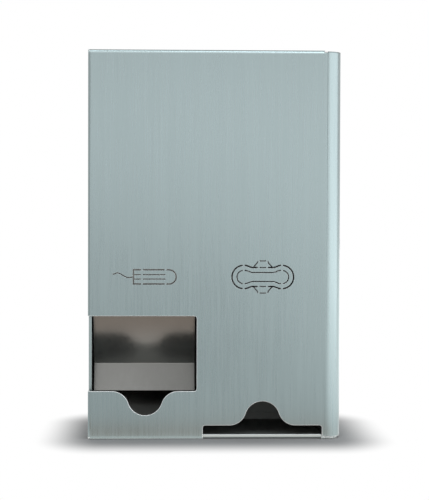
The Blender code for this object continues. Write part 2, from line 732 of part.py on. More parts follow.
def make_hinge(name, flange, direction):
    """A pivot: bracket, pin, washer and screws. Direction is 1 at the door's top and -1 at its foot."""
    washer_near = flange - direction * GAP
    washer_far = washer_near - direction * BODY_SHEET
    leaf_near = washer_far - direction * GAP
    leaf_far = leaf_near - direction * LEAF
    head_near = leaf_far - direction * GAP
    head_far = head_near - direction * PIN_HEAD
    shank_end = flange + direction * (DOOR_SHEET - PIN_RECESS)
    centre = (AXIS_X, AXIS_Y)
    right = AXIS_X + LEAF_REACH
    front = AXIS_Y - LEAF_MARGIN
    plan = [(right, front), (right, front + ARM_LENGTH), (right - ARM_WIDTH, front + ARM_LENGTH)]
    plan += [(right - ARM_WIDTH, AXIS_Y + LEAF_MARGIN)]
    plan += arc(centre, LEAF_MARGIN, 90, 270, ARC_STEPS)
    low = min(leaf_near, leaf_far)
    high = max(leaf_near, leaf_far)
    bracket = prism(f"hinge_bracket_{name}", [plan], low, high, "Z")
    if direction < 0:
        foot = box(
            "hinge_foot",
            (right - ARM_WIDTH, BODY_FRONT + GAP, BODY_SHEET + GAP),
            (right, front + ARM_LENGTH, high - LEAF / 2),
        )
        join(bracket, foot)
    hole = PIN_RADIUS + GAP
    cut(bracket, rod(f"bracket_{name}_hole_cutter", "Z", centre, hole, low - OVERRUN, high + OVERRUN))
    cut(bracket, *screw_hole_cutters(f"bracket_{name}", low - 2 * OVERRUN, high + OVERRUN))
    finish(bracket, ZINC)
    low = min(head_near, shank_end)
    high = max(head_near, shank_end)
    pin = rod(f"hinge_pin_{name}", "Z", centre, PIN_RADIUS, low, high)
    low = min(head_near, head_far)
    high = max(head_near, head_far)
    join(pin, rod(f"pin_{name}_head", "Z", centre, PIN_HEAD_RADIUS, low, high))
    finish(pin, ZINC, PIN_ROUGHNESS)
    low = min(washer_near, washer_far)
    high = max(washer_near, washer_far)
    washer = rod(f"hinge_washer_{name}", "Z", centre, WASHER_RADIUS, low, high)
    cut(washer, rod(f"washer_{name}_bore_cutter", "Z", centre, hole, low - OVERRUN, high + OVERRUN))
    finish(washer, NYLON, NYLON_ROUGHNESS, 0)
    for index, place in enumerate(screw_places()):
        screw = f"hinge_screw_{name}_{index + 1}"
        if direction > 0:
            seat = BODY_TOP + GAP
            make_screw(screw, "Z", place, leaf_far - GAP, seat, seat + SCREW_HEAD, SCREW_HEAD_RADIUS)
        else:
            seat = leaf_far + GAP
            make_screw(screw, "Z", place, GAP, seat, seat + SCREW_HEAD, SCREW_HEAD_RADIUS)


def keeper_screw_place(share):
    near = LOCK_Y - CAM_HALF_WIDTH - KEEPER_CLEARANCE
    return (near + KEEPER_LENGTH * share, LOCK_HEIGHT - KEEPER_DROP - KEEPER_HEIGHT / 2)


def make_keeper():
    near = LOCK_Y - CAM_HALF_WIDTH - KEEPER_CLEARANCE
    x = PAD_WALL_OUT + GAP
    path = [
        (x + KEEPER_STAND, near - KEEPER_SHEET),
        (x + KEEPER_STAND, near),
        (x + KEEPER_SHEET, near),
        (x + KEEPER_SHEET, near + KEEPER_LENGTH),
        (x, near + KEEPER_LENGTH),
        (x, near - KEEPER_SHEET),
    ]
    top = LOCK_HEIGHT - KEEPER_DROP
    keeper = prism("lock_keeper", [path], top - KEEPER_HEIGHT, top, "Z")
    for index, share in enumerate(KEEPER_SCREW_SHARES):
        place = keeper_screw_place(share)
        radius = SCREW_RADIUS + GAP
        cut(keeper, rod(f"keeper_hole_cutter_{index + 1}", "X", place, radius, x - OVERRUN, x + OVERRUN))
        seat = x + KEEPER_SHEET + GAP
        tip = PAD_WALL_X + GAP
        head = seat + KEEPER_SCREW_HEAD
        make_screw(f"keeper_screw_{index + 1}", "X", place, tip, seat, head, KEEPER_SCREW_HEAD_RADIUS)
    return finish(keeper, ZINC)


def make_lock_body():
    """What the door holds still: the housing with its flange, and the nut behind the wall."""
    place = (LOCK_Y, LOCK_HEIGHT)
    seat = RIGHT + GAP
    inner = RIGHT - BARREL_LENGTH
    outer = RIGHT + LOCK_PROUD
    housing = rod("lock_housing", "X", place, BARREL_RADIUS, inner, seat + GAP, 2 * ROUND_STEPS)
    flange = rod("lock_housing_flange", "X", place, LOCK_FLANGE_RADIUS, seat, outer, 2 * ROUND_STEPS)
    bore = rod("lock_bore_cutter", "X", place, PLUG_RADIUS + GAP, inner - OVERRUN, outer + OVERRUN)
    cut(join(housing, flange), bore)
    finish(housing, ZINC, CHROME_ROUGHNESS)
    high = RIGHT - DOOR_SHEET - GAP
    low = high - NUT_THICKNESS
    nut = prism("lock_nut", [circle(place, NUT_RADIUS, NUT_SIDES)], low, high, "X")
    cut(nut, rod("lock_nut_cutter", "X", place, BARREL_RADIUS + GAP, low - OVERRUN, high + OVERRUN))
    finish(nut, BRASS)
    return [housing, nut]


def make_lock_core():
    """What turns with the key: the plug with its keyway, the cam and the cam's screw."""
    place = (LOCK_Y, LOCK_HEIGHT)
    y, z = place
    inner = RIGHT - BARREL_LENGTH
    outer = RIGHT + LOCK_PROUD - PLUG_RECESS
    plug = rod("lock_plug", "X", place, PLUG_RADIUS, inner, outer)
    keyway = box(
        "keyway_cutter",
        (outer - KEYWAY_DEPTH, y - KEYWAY_WIDTH / 2, z - KEYWAY_HEIGHT / 2),
        (outer + OVERRUN, y + KEYWAY_WIDTH / 2, z + KEYWAY_HEIGHT / 2),
    )
    thread_end = inner + CAM_SCREW_REACH + GAP
    thread = rod("plug_thread_cutter", "X", place, SCREW_RADIUS + GAP, inner - OVERRUN, thread_end)
    finish(cut(plug, keyway, thread), BRASS, SCREW_ROUGHNESS)
    cam_high = inner - GAP
    cam_low = cam_high - CAM_THICKNESS
    outline = arc(place, CAM_HALF_WIDTH, 90, 270, ARC_STEPS)
    outline += [(y + CAM_LENGTH, z - CAM_HALF_WIDTH), (y + CAM_LENGTH, z + CAM_HALF_WIDTH)]
    cam = prism("lock_cam", [outline], cam_low, cam_high, "X")
    cut(cam, rod("cam_hole_cutter", "X", place, SCREW_RADIUS + GAP, cam_low - OVERRUN, cam_high + OVERRUN))
    finish(cam, ZINC)
    seat = cam_low - GAP
    tip = inner + CAM_SCREW_REACH
    screw = make_screw("cam_screw", "X", place, tip, seat, seat - CAM_SCREW_HEAD, SCREW_HEAD_RADIUS)
    return [plug, cam, screw]


def empty(name, place):
    made = bpy.data.objects.new(name, None)
    made.location = place
    bpy.context.scene.collection.objects.link(made)
    return made


def carry(parent, place, pieces):
    """Hangs pieces that were modelled in place under a joint's empty."""
    for piece in pieces:
        piece.parent = parent
        piece.location = [-value for value in place]


def main():
    clear_scene()
    door = make_door()
    make_back_panel()
    make_left_panel()
    make_top_panel()
    make_bottom_panel()
    make_tampon_bay()
    make_pad_bay()
    make_hinge("upper", HEIGHT - DOOR_SHEET, 1)
    make_hinge("lower", FLOOR_CLEARANCE + DOOR_SHEET, -1)
    make_keeper()
    still = make_lock_body()
    turning = make_lock_core()
    hinge_place = (AXIS_X, AXIS_Y, 0)
    lock_place = (RIGHT, LOCK_Y, LOCK_HEIGHT)
    hinge_axis = empty("door_hinge_axis", hinge_place)
    lock_axis = empty("lock_axis", [a - b for a, b in zip(lock_place, hinge_place)])
    lock_axis.parent = hinge_axis
    carry(hinge_axis, hinge_place, [door] + still)
    carry(lock_axis, lock_place, turning)


main()
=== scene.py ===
import math

import bmesh
import bpy
from mathutils import Matrix, Vector

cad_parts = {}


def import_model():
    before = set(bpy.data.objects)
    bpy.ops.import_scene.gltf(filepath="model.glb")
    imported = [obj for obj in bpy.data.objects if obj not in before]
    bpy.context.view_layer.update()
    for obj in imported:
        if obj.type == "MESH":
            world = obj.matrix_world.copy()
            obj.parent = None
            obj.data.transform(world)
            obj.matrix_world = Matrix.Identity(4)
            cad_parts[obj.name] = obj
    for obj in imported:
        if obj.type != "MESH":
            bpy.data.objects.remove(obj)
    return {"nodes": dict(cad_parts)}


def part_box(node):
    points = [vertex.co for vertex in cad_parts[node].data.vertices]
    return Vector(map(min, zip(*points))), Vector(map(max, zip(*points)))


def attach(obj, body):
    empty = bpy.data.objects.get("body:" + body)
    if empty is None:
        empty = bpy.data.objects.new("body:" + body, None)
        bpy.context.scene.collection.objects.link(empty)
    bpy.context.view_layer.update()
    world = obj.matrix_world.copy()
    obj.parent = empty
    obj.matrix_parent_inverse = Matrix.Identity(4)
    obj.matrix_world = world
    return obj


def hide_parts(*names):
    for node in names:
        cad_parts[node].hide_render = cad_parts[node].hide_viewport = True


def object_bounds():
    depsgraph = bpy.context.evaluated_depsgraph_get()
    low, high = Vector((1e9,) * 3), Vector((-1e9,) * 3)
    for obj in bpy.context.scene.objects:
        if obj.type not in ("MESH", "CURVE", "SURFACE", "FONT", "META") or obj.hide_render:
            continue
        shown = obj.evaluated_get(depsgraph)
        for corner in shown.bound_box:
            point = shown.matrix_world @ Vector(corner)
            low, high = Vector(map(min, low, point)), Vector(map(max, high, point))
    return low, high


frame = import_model()
cad_low, cad_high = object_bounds()

MM = 0.001
scene = bpy.context.scene

# The front door's box, and the sizes that the rest follows
DOOR_LOW, DOOR_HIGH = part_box("front_door")
LEFT = DOOR_LOW.x
RIGHT = DOOR_HIGH.x
FRONT = DOOR_LOW.y
HEIGHT = DOOR_HIGH.z

# Front door: one sheet, folded at the left, top and bottom and rolled at the right
DOOR_SHEET = 1.5 * MM
FOLD_RADIUS = 3 * MM
ROLL_RADIUS = 16 * MM
FLANGE_DEPTH = 10 * MM
FLANGE_BACK = FRONT + FLANGE_DEPTH
FLOOR_CLEARANCE = 0.5 * MM
ROLL_START = RIGHT - ROLL_RADIUS
ROLL_DROP = 1.1 * MM
ROLL_TOP = HEIGHT - ROLL_DROP
ROLL_LIFT = 2.3 * MM
TAB_INSET = 1.8 * MM
RELIEF_WIDTH = 3 * MM
RELIEF_DEPTH = 1 * MM
FOLD_STEPS = 10
ROLL_STEPS = 48
OVERRUN = 2 * MM
OVERLAP = 0.3 * MM

# Openings in the door
WINDOW_RIGHT = -19.05 * MM
WINDOW_BOTTOM = 48.4 * MM
WINDOW_TOP = 123.6 * MM
CUT_CORNER = 2.5 * MM
SCOOP_RADIUS = 17.5 * MM
SHOULDER_RADIUS = 17.4 * MM
SCOOP_DEPTH = 24.2 * MM
WINDOW_SCOOP_X = -70.75 * MM
SLOT_LEFT = -12.85 * MM
SLOT_RIGHT = 106.95 * MM
SLOT_HEIGHT = 13.9 * MM
SLOT_MIDDLE = (SLOT_LEFT + SLOT_RIGHT) / 2
THROUGH_FOLD = (FRONT - OVERRUN, FLANGE_BACK + OVERRUN)
CORNER_STEPS = 10
SCOOP_STEPS = 24

# Signs cut through the door
SIGN_HEIGHT = 163 * MM
LINE_WIDE = 1.5 * MM
LINE_FINE = 1.1 * MM
BRIDGE = 1.8 * MM
ARC_STEPS = 20
TAMPON_SIGN_LEFT = -82.45 * MM
TAMPON_SIGN_LENGTH = 32 * MM
TAMPON_SIGN_RADIUS = 7.1 * MM
TAMPON_GROOVE = 2.2 * MM
TAMPON_HEAD = 8.5 * MM
STRING_LENGTH = 20.8 * MM
STRING_RISE = 4 * MM
STRING_STEPS = 6
STRING_SHARES = (
    (1, 0.62), (0.88, 0.78), (0.76, 1), (0.56, 0.55), (0.4, 0.05), (0.22, -0.18), (0, 0)
)
PAD_SIGN_LENGTH = 61.8 * MM
PAD_LOBE = 11.7 * MM
PAD_WAIST = 9.5 * MM
PAD_INSET = 5 * MM
PAD_WAIST_LENGTH = 19.5 * MM
WING_RISE = 6.6 * MM
WING_TOP = 10.6 * MM
WING_TOP_SHARE = 0.75
FOLD_DASH = 6.6 * MM
WAIST_STEPS = 16

# Widths of the softened rims, and how meshes are cleaned and shaded
DOOR_RIM = 0.5 * MM
RELIEF_RIM = 0.35 * MM
SIGN_RIM = 0.12 * MM
SIGN_REACH = 22 * MM
BODY_RIM = 0.35 * MM
BAY_RIM = 0.2 * MM
BRACKET_RIM = 0.3 * MM
CAM_RIM = 0.25 * MM
RIM_STEPS = 3
RIM_ANGLE = math.radians(38)
SMOOTH_ANGLE = math.radians(35)
FLAT_ANGLE = math.radians(0.3)
MERGE_DISTANCE = 0.004 * MM
ROD_STEPS = 64
BEND_STEPS = 8
ROUND_STEPS = 48

# Inner sheets of the tampon bay
INNER_SHEET = 1.2 * MM
GUIDE_KNEE = 143.2 * MM
GUIDE_CREASE_DEPTH = 51 * MM
GUIDE_CREASE = 71.8 * MM
GUIDE_LIP_DEPTH = 41 * MM
GUIDE_LIP = 44.6 * MM
GUIDE_RIGHT_CUT = 3.4 * MM
GUIDE_BEND = 1.2 * MM
RAMP_FRONT = 20 * MM
RAMP_BACK = 38 * MM
RAMP_STOP = 12 * MM
RAMP_BEND = 1.5 * MM
CORNER_NOTCH = 17 * MM
BAY_CLEARANCE = 0.3 * MM

# Cabinet sheets: where their front lips start, and when a face counts as turned one way
BODY_FRONT = FRONT + 13.5 * MM
FACING = 0.5

# Screws
SCREW_RADIUS = 1.5 * MM
SCREW_HEAD_RADIUS = 2.8 * MM
SCREW_HEAD = 1.2 * MM
KEEPER_HEAD_RADIUS = 2.5 * MM
KEEPER_HEAD = 1 * MM
CAM_HEAD = 1.4 * MM
RECESS_REACH = 0.56
RECESS_WIDTH = 0.3
RECESS_LIFT = 0.92
CROWN_POWER = 0.55
HEAD_STEPS = 32
SHANK_STEPS = 24
TURN_SEED = 7

# Hinges
PIN_RADIUS = 1.6 * MM
PIN_HEAD_RADIUS = 3 * MM
PIN_HEAD = 1.5 * MM
PIN_CHAMFER = 0.3 * MM
PIN_HEAD_CURVE = ((0.0, 0.55), (0.12, 0.8), (0.35, 0.96), (0.6, 1), (1, 1))
PIN_HOLE = 1.9 * MM
WASHER_RIM = 0.2 * MM

# Buffers: shares of their length and radius, and the steps of their dome and round it
BUFFER_DOME = 0.6
BUFFER_WAIST = 0.98
BUFFER_FOOT = 0.15
BUFFER_STEPS = 8
BUFFER_ROUND_STEPS = 32

# Lock
BARREL_RADIUS = 9 * MM
LOCK_FLANGE_RADIUS = 11 * MM
LOCK_FLANGE = 1.7 * MM
LOCK_BORE = 6.3 * MM
LOCK_HOLE = 9.3 * MM
LOCK_RIM = 0.5 * MM
RIM_MIDDLE = 0.3
PLUG_RADIUS = 6 * MM
PLUG_RIM = 0.3 * MM
THREAD_DEPTH = 4.3 * MM
KEYWAY_WIDTH = 1.6 * MM
KEYWAY_HEIGHT = 7 * MM
KEYWAY_DEPTH = 5 * MM
NUT_RADIUS = 13 * MM
NUT_CHAMFER = 0.9 * MM
NUT_SIDES = 6
LOCK_STEPS = 72

# Camera
CAMERA_PLACE = Vector((-47.95 * MM, -1.56, 0.221))
CAMERA_TARGET = Vector((-1.45 * MM, -0.06, 0.19))
CAMERA_ROLL = math.radians(0.15)
FOCAL_LENGTH = 108
SENSOR_WIDTH = 36
CLIP_START = 50 * MM
CLIP_END = 50

# Lamps: name, place, target, size, radiance as seen in a mirror, colour
LAMPS = (
    ("key_light", (-0.1, -2.0, 0.46), (0, 0, 0.2), (2.0, 0.46), 0.84, (0.96, 0.98, 1.0)),
    ("top_light", (0, -0.85, 1.25), (0, -0.05, 0.39), (1.6, 0.5), 2.3, (0.84, 0.93, 1.0)),
    ("right_light", (1.3, -1.0, 0.8), (0, -1.0, 0.7), (2.6, 1.6), 1.38, (0.94, 0.97, 1.0)),
)
SOFT_LIGHT = 0.6

# Floor: how far the painted shadow round the foot and the painted reflections in the steel reach,
# and their colours
FLOOR_SIZE = 12
FLOOR_COLOUR = (0.27, 0.27, 0.27, 1)
FLOOR_ROUGHNESS = 0.9
SHADE_WIDTH = 226 * MM
SHADE_DEPTH = 120 * MM
SHADE_FADE = (16 * MM, 105 * MM)
SIDE_PACE = 1.5
GLOW_FADE = (6 * MM, 36 * MM)
WARM_FADE = (55 * MM, 120 * MM)
FOOT_GLOW = (1.3, 1.28, 1.25, 1)
WARM_REFLECTION = (0.77, 0.645, 0.563, 1)
COOL_REFLECTION = (0.97, 1, 1, 1)
RIGHT_FADE = (130 * MM, 360 * MM)
RIGHT_GAIN = 1.9


def arc(centre, radius, start, end, steps):
    """Points on a circle from one angle to another, in degrees."""
    points = []
    for step in range(steps + 1):
        angle = math.radians(start + (end - start) * step / steps)
        points.append((centre[0] + radius * math.cos(angle), centre[1] + radius * math.sin(angle)))
    return points


def place_on(axis, a, b, along):
    """A point by its place along an axis and its two coordinates across it."""
    if axis == "X":
        return (along, a, b)
    if axis == "Y":
        return (a, along, b)
    return (a, b, along)


def link(name, data):
    obj = bpy.data.objects.new(name, data)
    scene.collection.objects.link(obj)
    return obj


def prism(name, outlines, low, high, axis):
    """Closed prisms of these outlines along an axis."""
    mesh = bpy.data.meshes.new(name)
    shape = bmesh.new()
    for outline in outlines:
        lower = [shape.verts.new(place_on(axis, a, b, low)) for a, b in outline]
        upper = [shape.verts.new(place_on(axis, a, b, high)) for a, b in outline]
        shape.faces.new(lower)
        shape.faces.new(upper)
        for index in range(len(outline)):
            following = (index + 1) % len(outline)
            shape.faces.new((lower[index], lower[following], upper[following], upper[index]))
    bmesh.ops.recalc_face_normals(shape, faces=shape.faces)
    shape.to_mesh(mesh)
    shape.free()
    return link(name, mesh)


def block(name, low, high):
    """A box between two corners."""
    outline = [(low[0], low[1]), (high[0], low[1]), (high[0], high[1]), (low[0], high[1])]
    return prism(name, [outline], low[2], high[2], "Z")


def rod(name, axis, centre, radius, low, high):
    return prism(name, [arc(centre, radius, 0, 360, ROD_STEPS)[:-1]], low, high, axis)


def solidified(obj):
    """The object's evaluated shape as a plain mesh, with its modifiers gone."""
    graph = bpy.context.evaluated_depsgraph_get()
    mesh = bpy.data.meshes.new_from_object(obj.evaluated_get(graph))
    obj.modifiers.clear()
    obj.data = mesh
    return obj


def combine(target, other, operation, overlapping=False):
    """Joins another solid to a target or cuts it away, and removes it."""
    change = target.modifiers.new(other.name, "BOOLEAN")
    change.operation = operation
    change.object = other
    change.solver = "EXACT"
    change.use_self = overlapping
    solidified(target)
    bpy.data.objects.remove(other)


def cut(target, *cutters):
    for cutter in cutters:
        combine(target, cutter, "DIFFERENCE")
    return target


def rounded_block(name, low, high, radius):
    """A block whose front edges at the left, top and bottom are rounded."""
    made = block(name, low, high)
    shape = bmesh.new()
    shape.from_mesh(made.data)
    chosen = []
    for edge in shape.edges:
        if all(abs(v.co.y - low[1]) < MERGE_DISTANCE for v in edge.verts):
            if min(v.co.x for v in edge.verts) < high[0] - MERGE_DISTANCE:
                chosen.append(edge)
    widths = {"offset": radius, "segments": FOLD_STEPS, "profile": 0.5, "clamp_overlap": True}
    bmesh.ops.bevel(shape, geom=chosen, affect="EDGES", **widths)
    bmesh.ops.recalc_face_normals(shape, faces=shape.faces)
    shape.to_mesh(made.data)
    shape.free()
    return made


def merge(obj):
    """Merges a mesh's doubles and makes its flats whole."""
    shape = bmesh.new()
    shape.from_mesh(obj.data)
    bmesh.ops.remove_doubles(shape, verts=shape.verts, dist=MERGE_DISTANCE)
    bmesh.ops.dissolve_degenerate(shape, edges=shape.edges, dist=MERGE_DISTANCE)
    bmesh.ops.dissolve_limit(shape, angle_limit=FLAT_ANGLE, verts=shape.verts, edges=shape.edges)
    shape.to_mesh(obj.data)
    shape.free()


def soften(obj, width_of, material=-1):
    """Rounds each edge by the width that width_of gives it, and shades the flats flat.

    The rims get the material slot of this index, or the slot of their faces for -1. Nothing ends
    up outside the solids' box.
    """
    merge(obj)
    while len(obj.data.materials) <= material:
        obj.data.materials.append(None)
    shape = bmesh.new()
    shape.from_mesh(obj.data)
    weight = shape.edges.layers.float.new("bevel_weight_edge")
    widest = 0
    for edge in shape.edges:
        if len(edge.link_faces) == 2 and abs(edge.calc_face_angle_signed(0)) > RIM_ANGLE:
            edge[weight] = width_of(edge)
            widest = max(widest, edge[weight])
    for edge in shape.edges:
        edge[weight] /= max(widest, MERGE_DISTANCE)
    shape.to_mesh(obj.data)
    shape.free()
    obj.data.shade_smooth()
    bevel = obj.modifiers.new("rim_bevel", "BEVEL")
    bevel.width = widest
    bevel.segments = RIM_STEPS
    bevel.limit_method = "WEIGHT"
    bevel.use_clamp_overlap = False
    bevel.loop_slide = False
    bevel.material = material
    obj.modifiers.new("flat_shading", "WEIGHTED_NORMAL")
    solidified(obj)
    for vertex in obj.data.vertices:
        limits = zip(vertex.co, cad_low, cad_high)
        vertex.co = [min(max(value, least), most) for value, least, most in limits]
    return obj


def even(width):
    """The same width for every edge."""
    return lambda edge: width


def door_edge(edge):
    """The door's rims are rounded, those at its top less, and the lines of its signs only just."""
    middle = (edge.verts[0].co + edge.verts[1].co) / 2
    on_flat = LEFT + FOLD_RADIUS < middle.x < ROLL_START
    if on_flat and abs(middle.z - SIGN_HEIGHT) < SIGN_REACH:
        return SIGN_RIM
    return RELIEF_RIM if middle.z > HEIGHT - 2 * FOLD_RADIUS else DOOR_RIM


def middle_of(node):
    """The middle of a node's box."""
    low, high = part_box(node)
    return (low + high) / 2


def turned(name, axis, centre, profile, closed=False, steps=ROUND_STEPS):
    """A turned piece: a profile of (along, radius) swept round an axis through centre."""
    shape = bmesh.new()
    rings = []
    for along, radius in profile:
        if radius < MERGE_DISTANCE:
            rings.append([shape.verts.new(place_on(axis, centre[0], centre[1], along))])
            continue
        ring = arc(centre, radius, 0, 360, steps)[:-1]
        rings.append([shape.verts.new(place_on(axis, a, b, along)) for a, b in ring])
    pairs = list(zip(rings, rings[1:]))
    if closed:
        pairs.append((rings[-1], rings[0]))
    for lower, upper in pairs:
        for step in range(steps):
            following = (step + 1) % steps
            corners = [lower[step % len(lower)], lower[following % len(lower)]]
            corners += [upper[following % len(upper)], upper[step % len(upper)]]
            shape.faces.new(list(dict.fromkeys(corners)))
    bmesh.ops.recalc_face_normals(shape, faces=shape.faces)
    mesh = bpy.data.meshes.new(name)
    shape.to_mesh(mesh)
    shape.free()
    return rounded(link(name, mesh))


def rounded(obj):
    """Shades a mesh smooth, apart from its sharp edges."""
    obj.data.shade_smooth()
    obj.data.set_sharp_from_angle(angle=SMOOTH_ANGLE)
    return obj


def folded(path, thickness, bend):
    """The section of a folded sheet: its face follows a path, with the sheet on the path's left."""
    face = []
    back = []
    for index, point in enumerate(path):
        here = Vector(point)
        before = here - Vector(path[max(index - 1, 0)])
        after = Vector(path[min(index + 1, len(path) - 1)]) - here
        if before.length == 0 or after.length == 0:
            way = (before + after).normalized()
            face.append(here)
            back.append(here + Vector((-way.y, way.x)) * thickness)
            continue
        before.normalize()
        after.normalize()
        turn = math.atan2(before.x * after.y - before.y * after.x, before.dot(after))
        side = 1 if turn > 0 else -1
        radius = bend + thickness if turn > 0 else bend
        left = Vector((-before.y, before.x))
        start = here - before * radius * math.tan(abs(turn) / 2)
        centre = start + left * radius * side
        for step in range(BEND_STEPS + 1):
            normal = Matrix.Rotation(turn * step / BEND_STEPS, 2) @ left
            face.append(centre - normal * radius * side)
            back.append(face[-1] + normal * thickness)
    return [tuple(p) for p in face + back[::-1]]


def band(points, width):
    """The outline of a line of this width along a path."""
    left_side = []
    right_side = []
    for index, (a, b) in enumerate(points):
        before = points[max(index - 1, 0)]
        after = points[min(index + 1, len(points) - 1)]
        length = math.hypot(after[0] - before[0], after[1] - before[1])
        out_a = -(after[1] - before[1]) / length * width / 2
        out_b = (after[0] - before[0]) / length * width / 2
        left_side.append((a + out_a, b + out_b))
        right_side.append((a - out_a, b - out_b))
    return left_side + right_side[::-1]


def window_cutter():
    """The tampon window, open at the left through the door's fold."""
    corner = CUT_CORNER
    right = WINDOW_RIGHT - corner
    outline = [(LEFT - OVERRUN, WINDOW_BOTTOM)]
    outline += arc((right, WINDOW_BOTTOM + corner), corner, -90, 0, CORNER_STEPS)
    outline += arc((right, WINDOW_TOP - corner), corner, 0, 90, CORNER_STEPS)
    outline += [(LEFT - OVERRUN, WINDOW_TOP)]
    return prism("window_cutter", [outline], *THROUGH_FOLD, "Y")


def slot_cutter():
    """The pad slot, open at the door's foot."""
    corner = CUT_CORNER
    outline = [(SLOT_LEFT, -OVERRUN), (SLOT_RIGHT, -OVERRUN)]
    outline += arc((SLOT_RIGHT - corner, SLOT_HEIGHT - corner), corner, 0, 90, CORNER_STEPS)
    outline += arc((SLOT_LEFT + corner, SLOT_HEIGHT - corner), corner, 90, 180, CORNER_STEPS)
    return prism("slot_cutter", [outline], *THROUGH_FOLD, "Y")


def scoop_cutter(name, centre_x, edge, direction):
    """A finger scoop across a straight edge, down for -1 or up for 1.

    It is a round bowl with soft shoulders.
    """
    both = SCOOP_RADIUS + SHOULDER_RADIUS
    half_span = math.sqrt(both**2 - (both - SCOOP_DEPTH) ** 2)
    turn = math.degrees(math.atan2(both - SCOOP_DEPTH, half_span))
    shoulder = arc((-half_span, -SHOULDER_RADIUS), SHOULDER_RADIUS, 90, turn, SCOOP_STEPS)
    centre = (0, SCOOP_RADIUS - SCOOP_DEPTH)
    bowl = arc(centre, SCOOP_RADIUS, 180 + turn, 360 - turn, 2 * SCOOP_STEPS)
    outline = [(-half_span, OVERRUN)] + shoulder + bowl[1:-1]
    outline += [(-a, b) for a, b in shoulder[::-1]] + [(half_span, OVERRUN)]
    outline = [(centre_x + a, edge - b * direction) for a, b in outline]
    return prism(name, [outline], FRONT - OVERRUN, FRONT + FLANGE_DEPTH / 2, "Y")


def tampon_sign():
    """A grooved cylinder with a round head and a loose string."""
    left = TAMPON_SIGN_LEFT
    stop = left + TAMPON_HEAD - BRIDGE / 2
    start = left + TAMPON_HEAD + BRIDGE / 2
    right = left + TAMPON_SIGN_LENGTH
    lines = []
    for offset, width in (
        (TAMPON_SIGN_RADIUS, LINE_WIDE),
        (TAMPON_GROOVE, LINE_FINE),
        (-TAMPON_GROOVE, LINE_FINE),
        (-TAMPON_SIGN_RADIUS, LINE_WIDE),
    ):
        height = SIGN_HEIGHT + offset
        end = right if width == LINE_FINE else right - BRIDGE / 2
        lines.append(band([(left, height), (stop, height)], width))
        lines.append(band([(start, height), (end, height)], width))
    reach = TAMPON_SIGN_RADIUS + LINE_WIDE / 2
    lines.append(band([(left, SIGN_HEIGHT - reach), (left, SIGN_HEIGHT + reach)], LINE_WIDE))
    tip = (right + BRIDGE * 2, SIGN_HEIGHT)
    head = [(right + BRIDGE / 2, SIGN_HEIGHT - TAMPON_SIGN_RADIUS)]
    head += arc(tip, TAMPON_SIGN_RADIUS, -90, 90, ARC_STEPS)
    head += [(right + BRIDGE / 2, SIGN_HEIGHT + TAMPON_SIGN_RADIUS)]
    lines.append(band(head, LINE_WIDE))
    string = [(left - a * STRING_LENGTH, SIGN_HEIGHT + b * STRING_RISE) for a, b in STRING_SHARES]
    lines.append(band(smooth_path(string), LINE_FINE))
    return lines


def smooth_path(points):
    """A smooth path through these points."""
    path = []
    for index in range(len(points) - 1):
        before = points[max(index - 1, 0)]
        start = points[index]
        end = points[index + 1]
        after = points[min(index + 2, len(points) - 1)]
        for step in range(STRING_STEPS):
            t = step / STRING_STEPS
            point = []
            for k in (0, 1):
                slope = (end[k] - before[k]) * t
                swing = (2 * before[k] - 5 * start[k] + 4 * end[k] - after[k]) * t**2
                twist = (3 * start[k] - before[k] - 3 * end[k] + after[k]) * t**3
                point.append(0.5 * (2 * start[k] + slope + swing + twist))
            path.append(tuple(point))
    return path + [points[-1]]


def pad_outline(lobe, waist, half_length, bridge_x):
    """The right half of a pad: its upper side to the bridge, and its end beyond the bridge."""
    flat = PAD_WAIST_LENGTH / 2
    start = bridge_x - BRIDGE / 2
    top = []
    for step in range(WAIST_STEPS + 1):
        share = step / WAIST_STEPS
        swell = (1 - math.cos(math.pi * share)) / 2
        top.append((flat + (start - flat) * share, waist + (lobe - waist) * swell))
    centre = half_length - lobe
    end = [(bridge_x + BRIDGE / 2, lobe)] if centre > bridge_x + BRIDGE / 2 else []
    first = 90 if end else math.degrees(math.acos((bridge_x + BRIDGE / 2 - centre) / lobe))
    end += arc((centre, 0), lobe, first, -first, 2 * ARC_STEPS)
    end += [(bridge_x + BRIDGE / 2, -lobe)] if len(end) > 2 * ARC_STEPS + 1 else []
    return top, end


def pad_sign():
    """Two dog-bone outlines, and a wing with a fold line above and below."""
    bridge_x = PAD_SIGN_LENGTH / 2 - PAD_LOBE
    middle = SLOT_MIDDLE
    half_dash = FOLD_DASH / 2
    lines = []
    outer_top, outer_end = pad_outline(PAD_LOBE, PAD_WAIST, PAD_SIGN_LENGTH / 2, bridge_x)
    inner_top, inner_end = pad_outline(
        PAD_LOBE - PAD_INSET, PAD_WAIST - PAD_INSET, PAD_SIGN_LENGTH / 2 - PAD_INSET, bridge_x
    )
    wing = [
        (half_dash + BRIDGE, PAD_WAIST + WING_RISE),
        (WING_TOP / 2, PAD_WAIST + WING_RISE * WING_TOP_SHARE),
        (PAD_WAIST_LENGTH / 2, PAD_WAIST),
    ]
    for side in (-1, 1):
        for path, width in ((outer_end, LINE_WIDE), (inner_end, LINE_FINE)):
            lines.append(band([(middle + side * a, SIGN_HEIGHT + b) for a, b in path], width))
        for up in (-1, 1):
            outer = [(half_dash + BRIDGE, PAD_WAIST)] + outer_top
            inner = [(0, PAD_WAIST - PAD_INSET)] + inner_top
            for path, width in ((outer, LINE_WIDE), (inner, LINE_FINE), (wing, LINE_FINE)):
                placed = [(middle + side * a, SIGN_HEIGHT + up * b) for a, b in path]
                lines.append(band(placed, width))
    for up in (-1, 1):
        for height in (PAD_WAIST, PAD_WAIST + WING_RISE):
            level = SIGN_HEIGHT + up * height
            dash = [(middle - half_dash, level), (middle + half_dash, level)]
            lines.append(band(dash, LINE_FINE))
    return lines


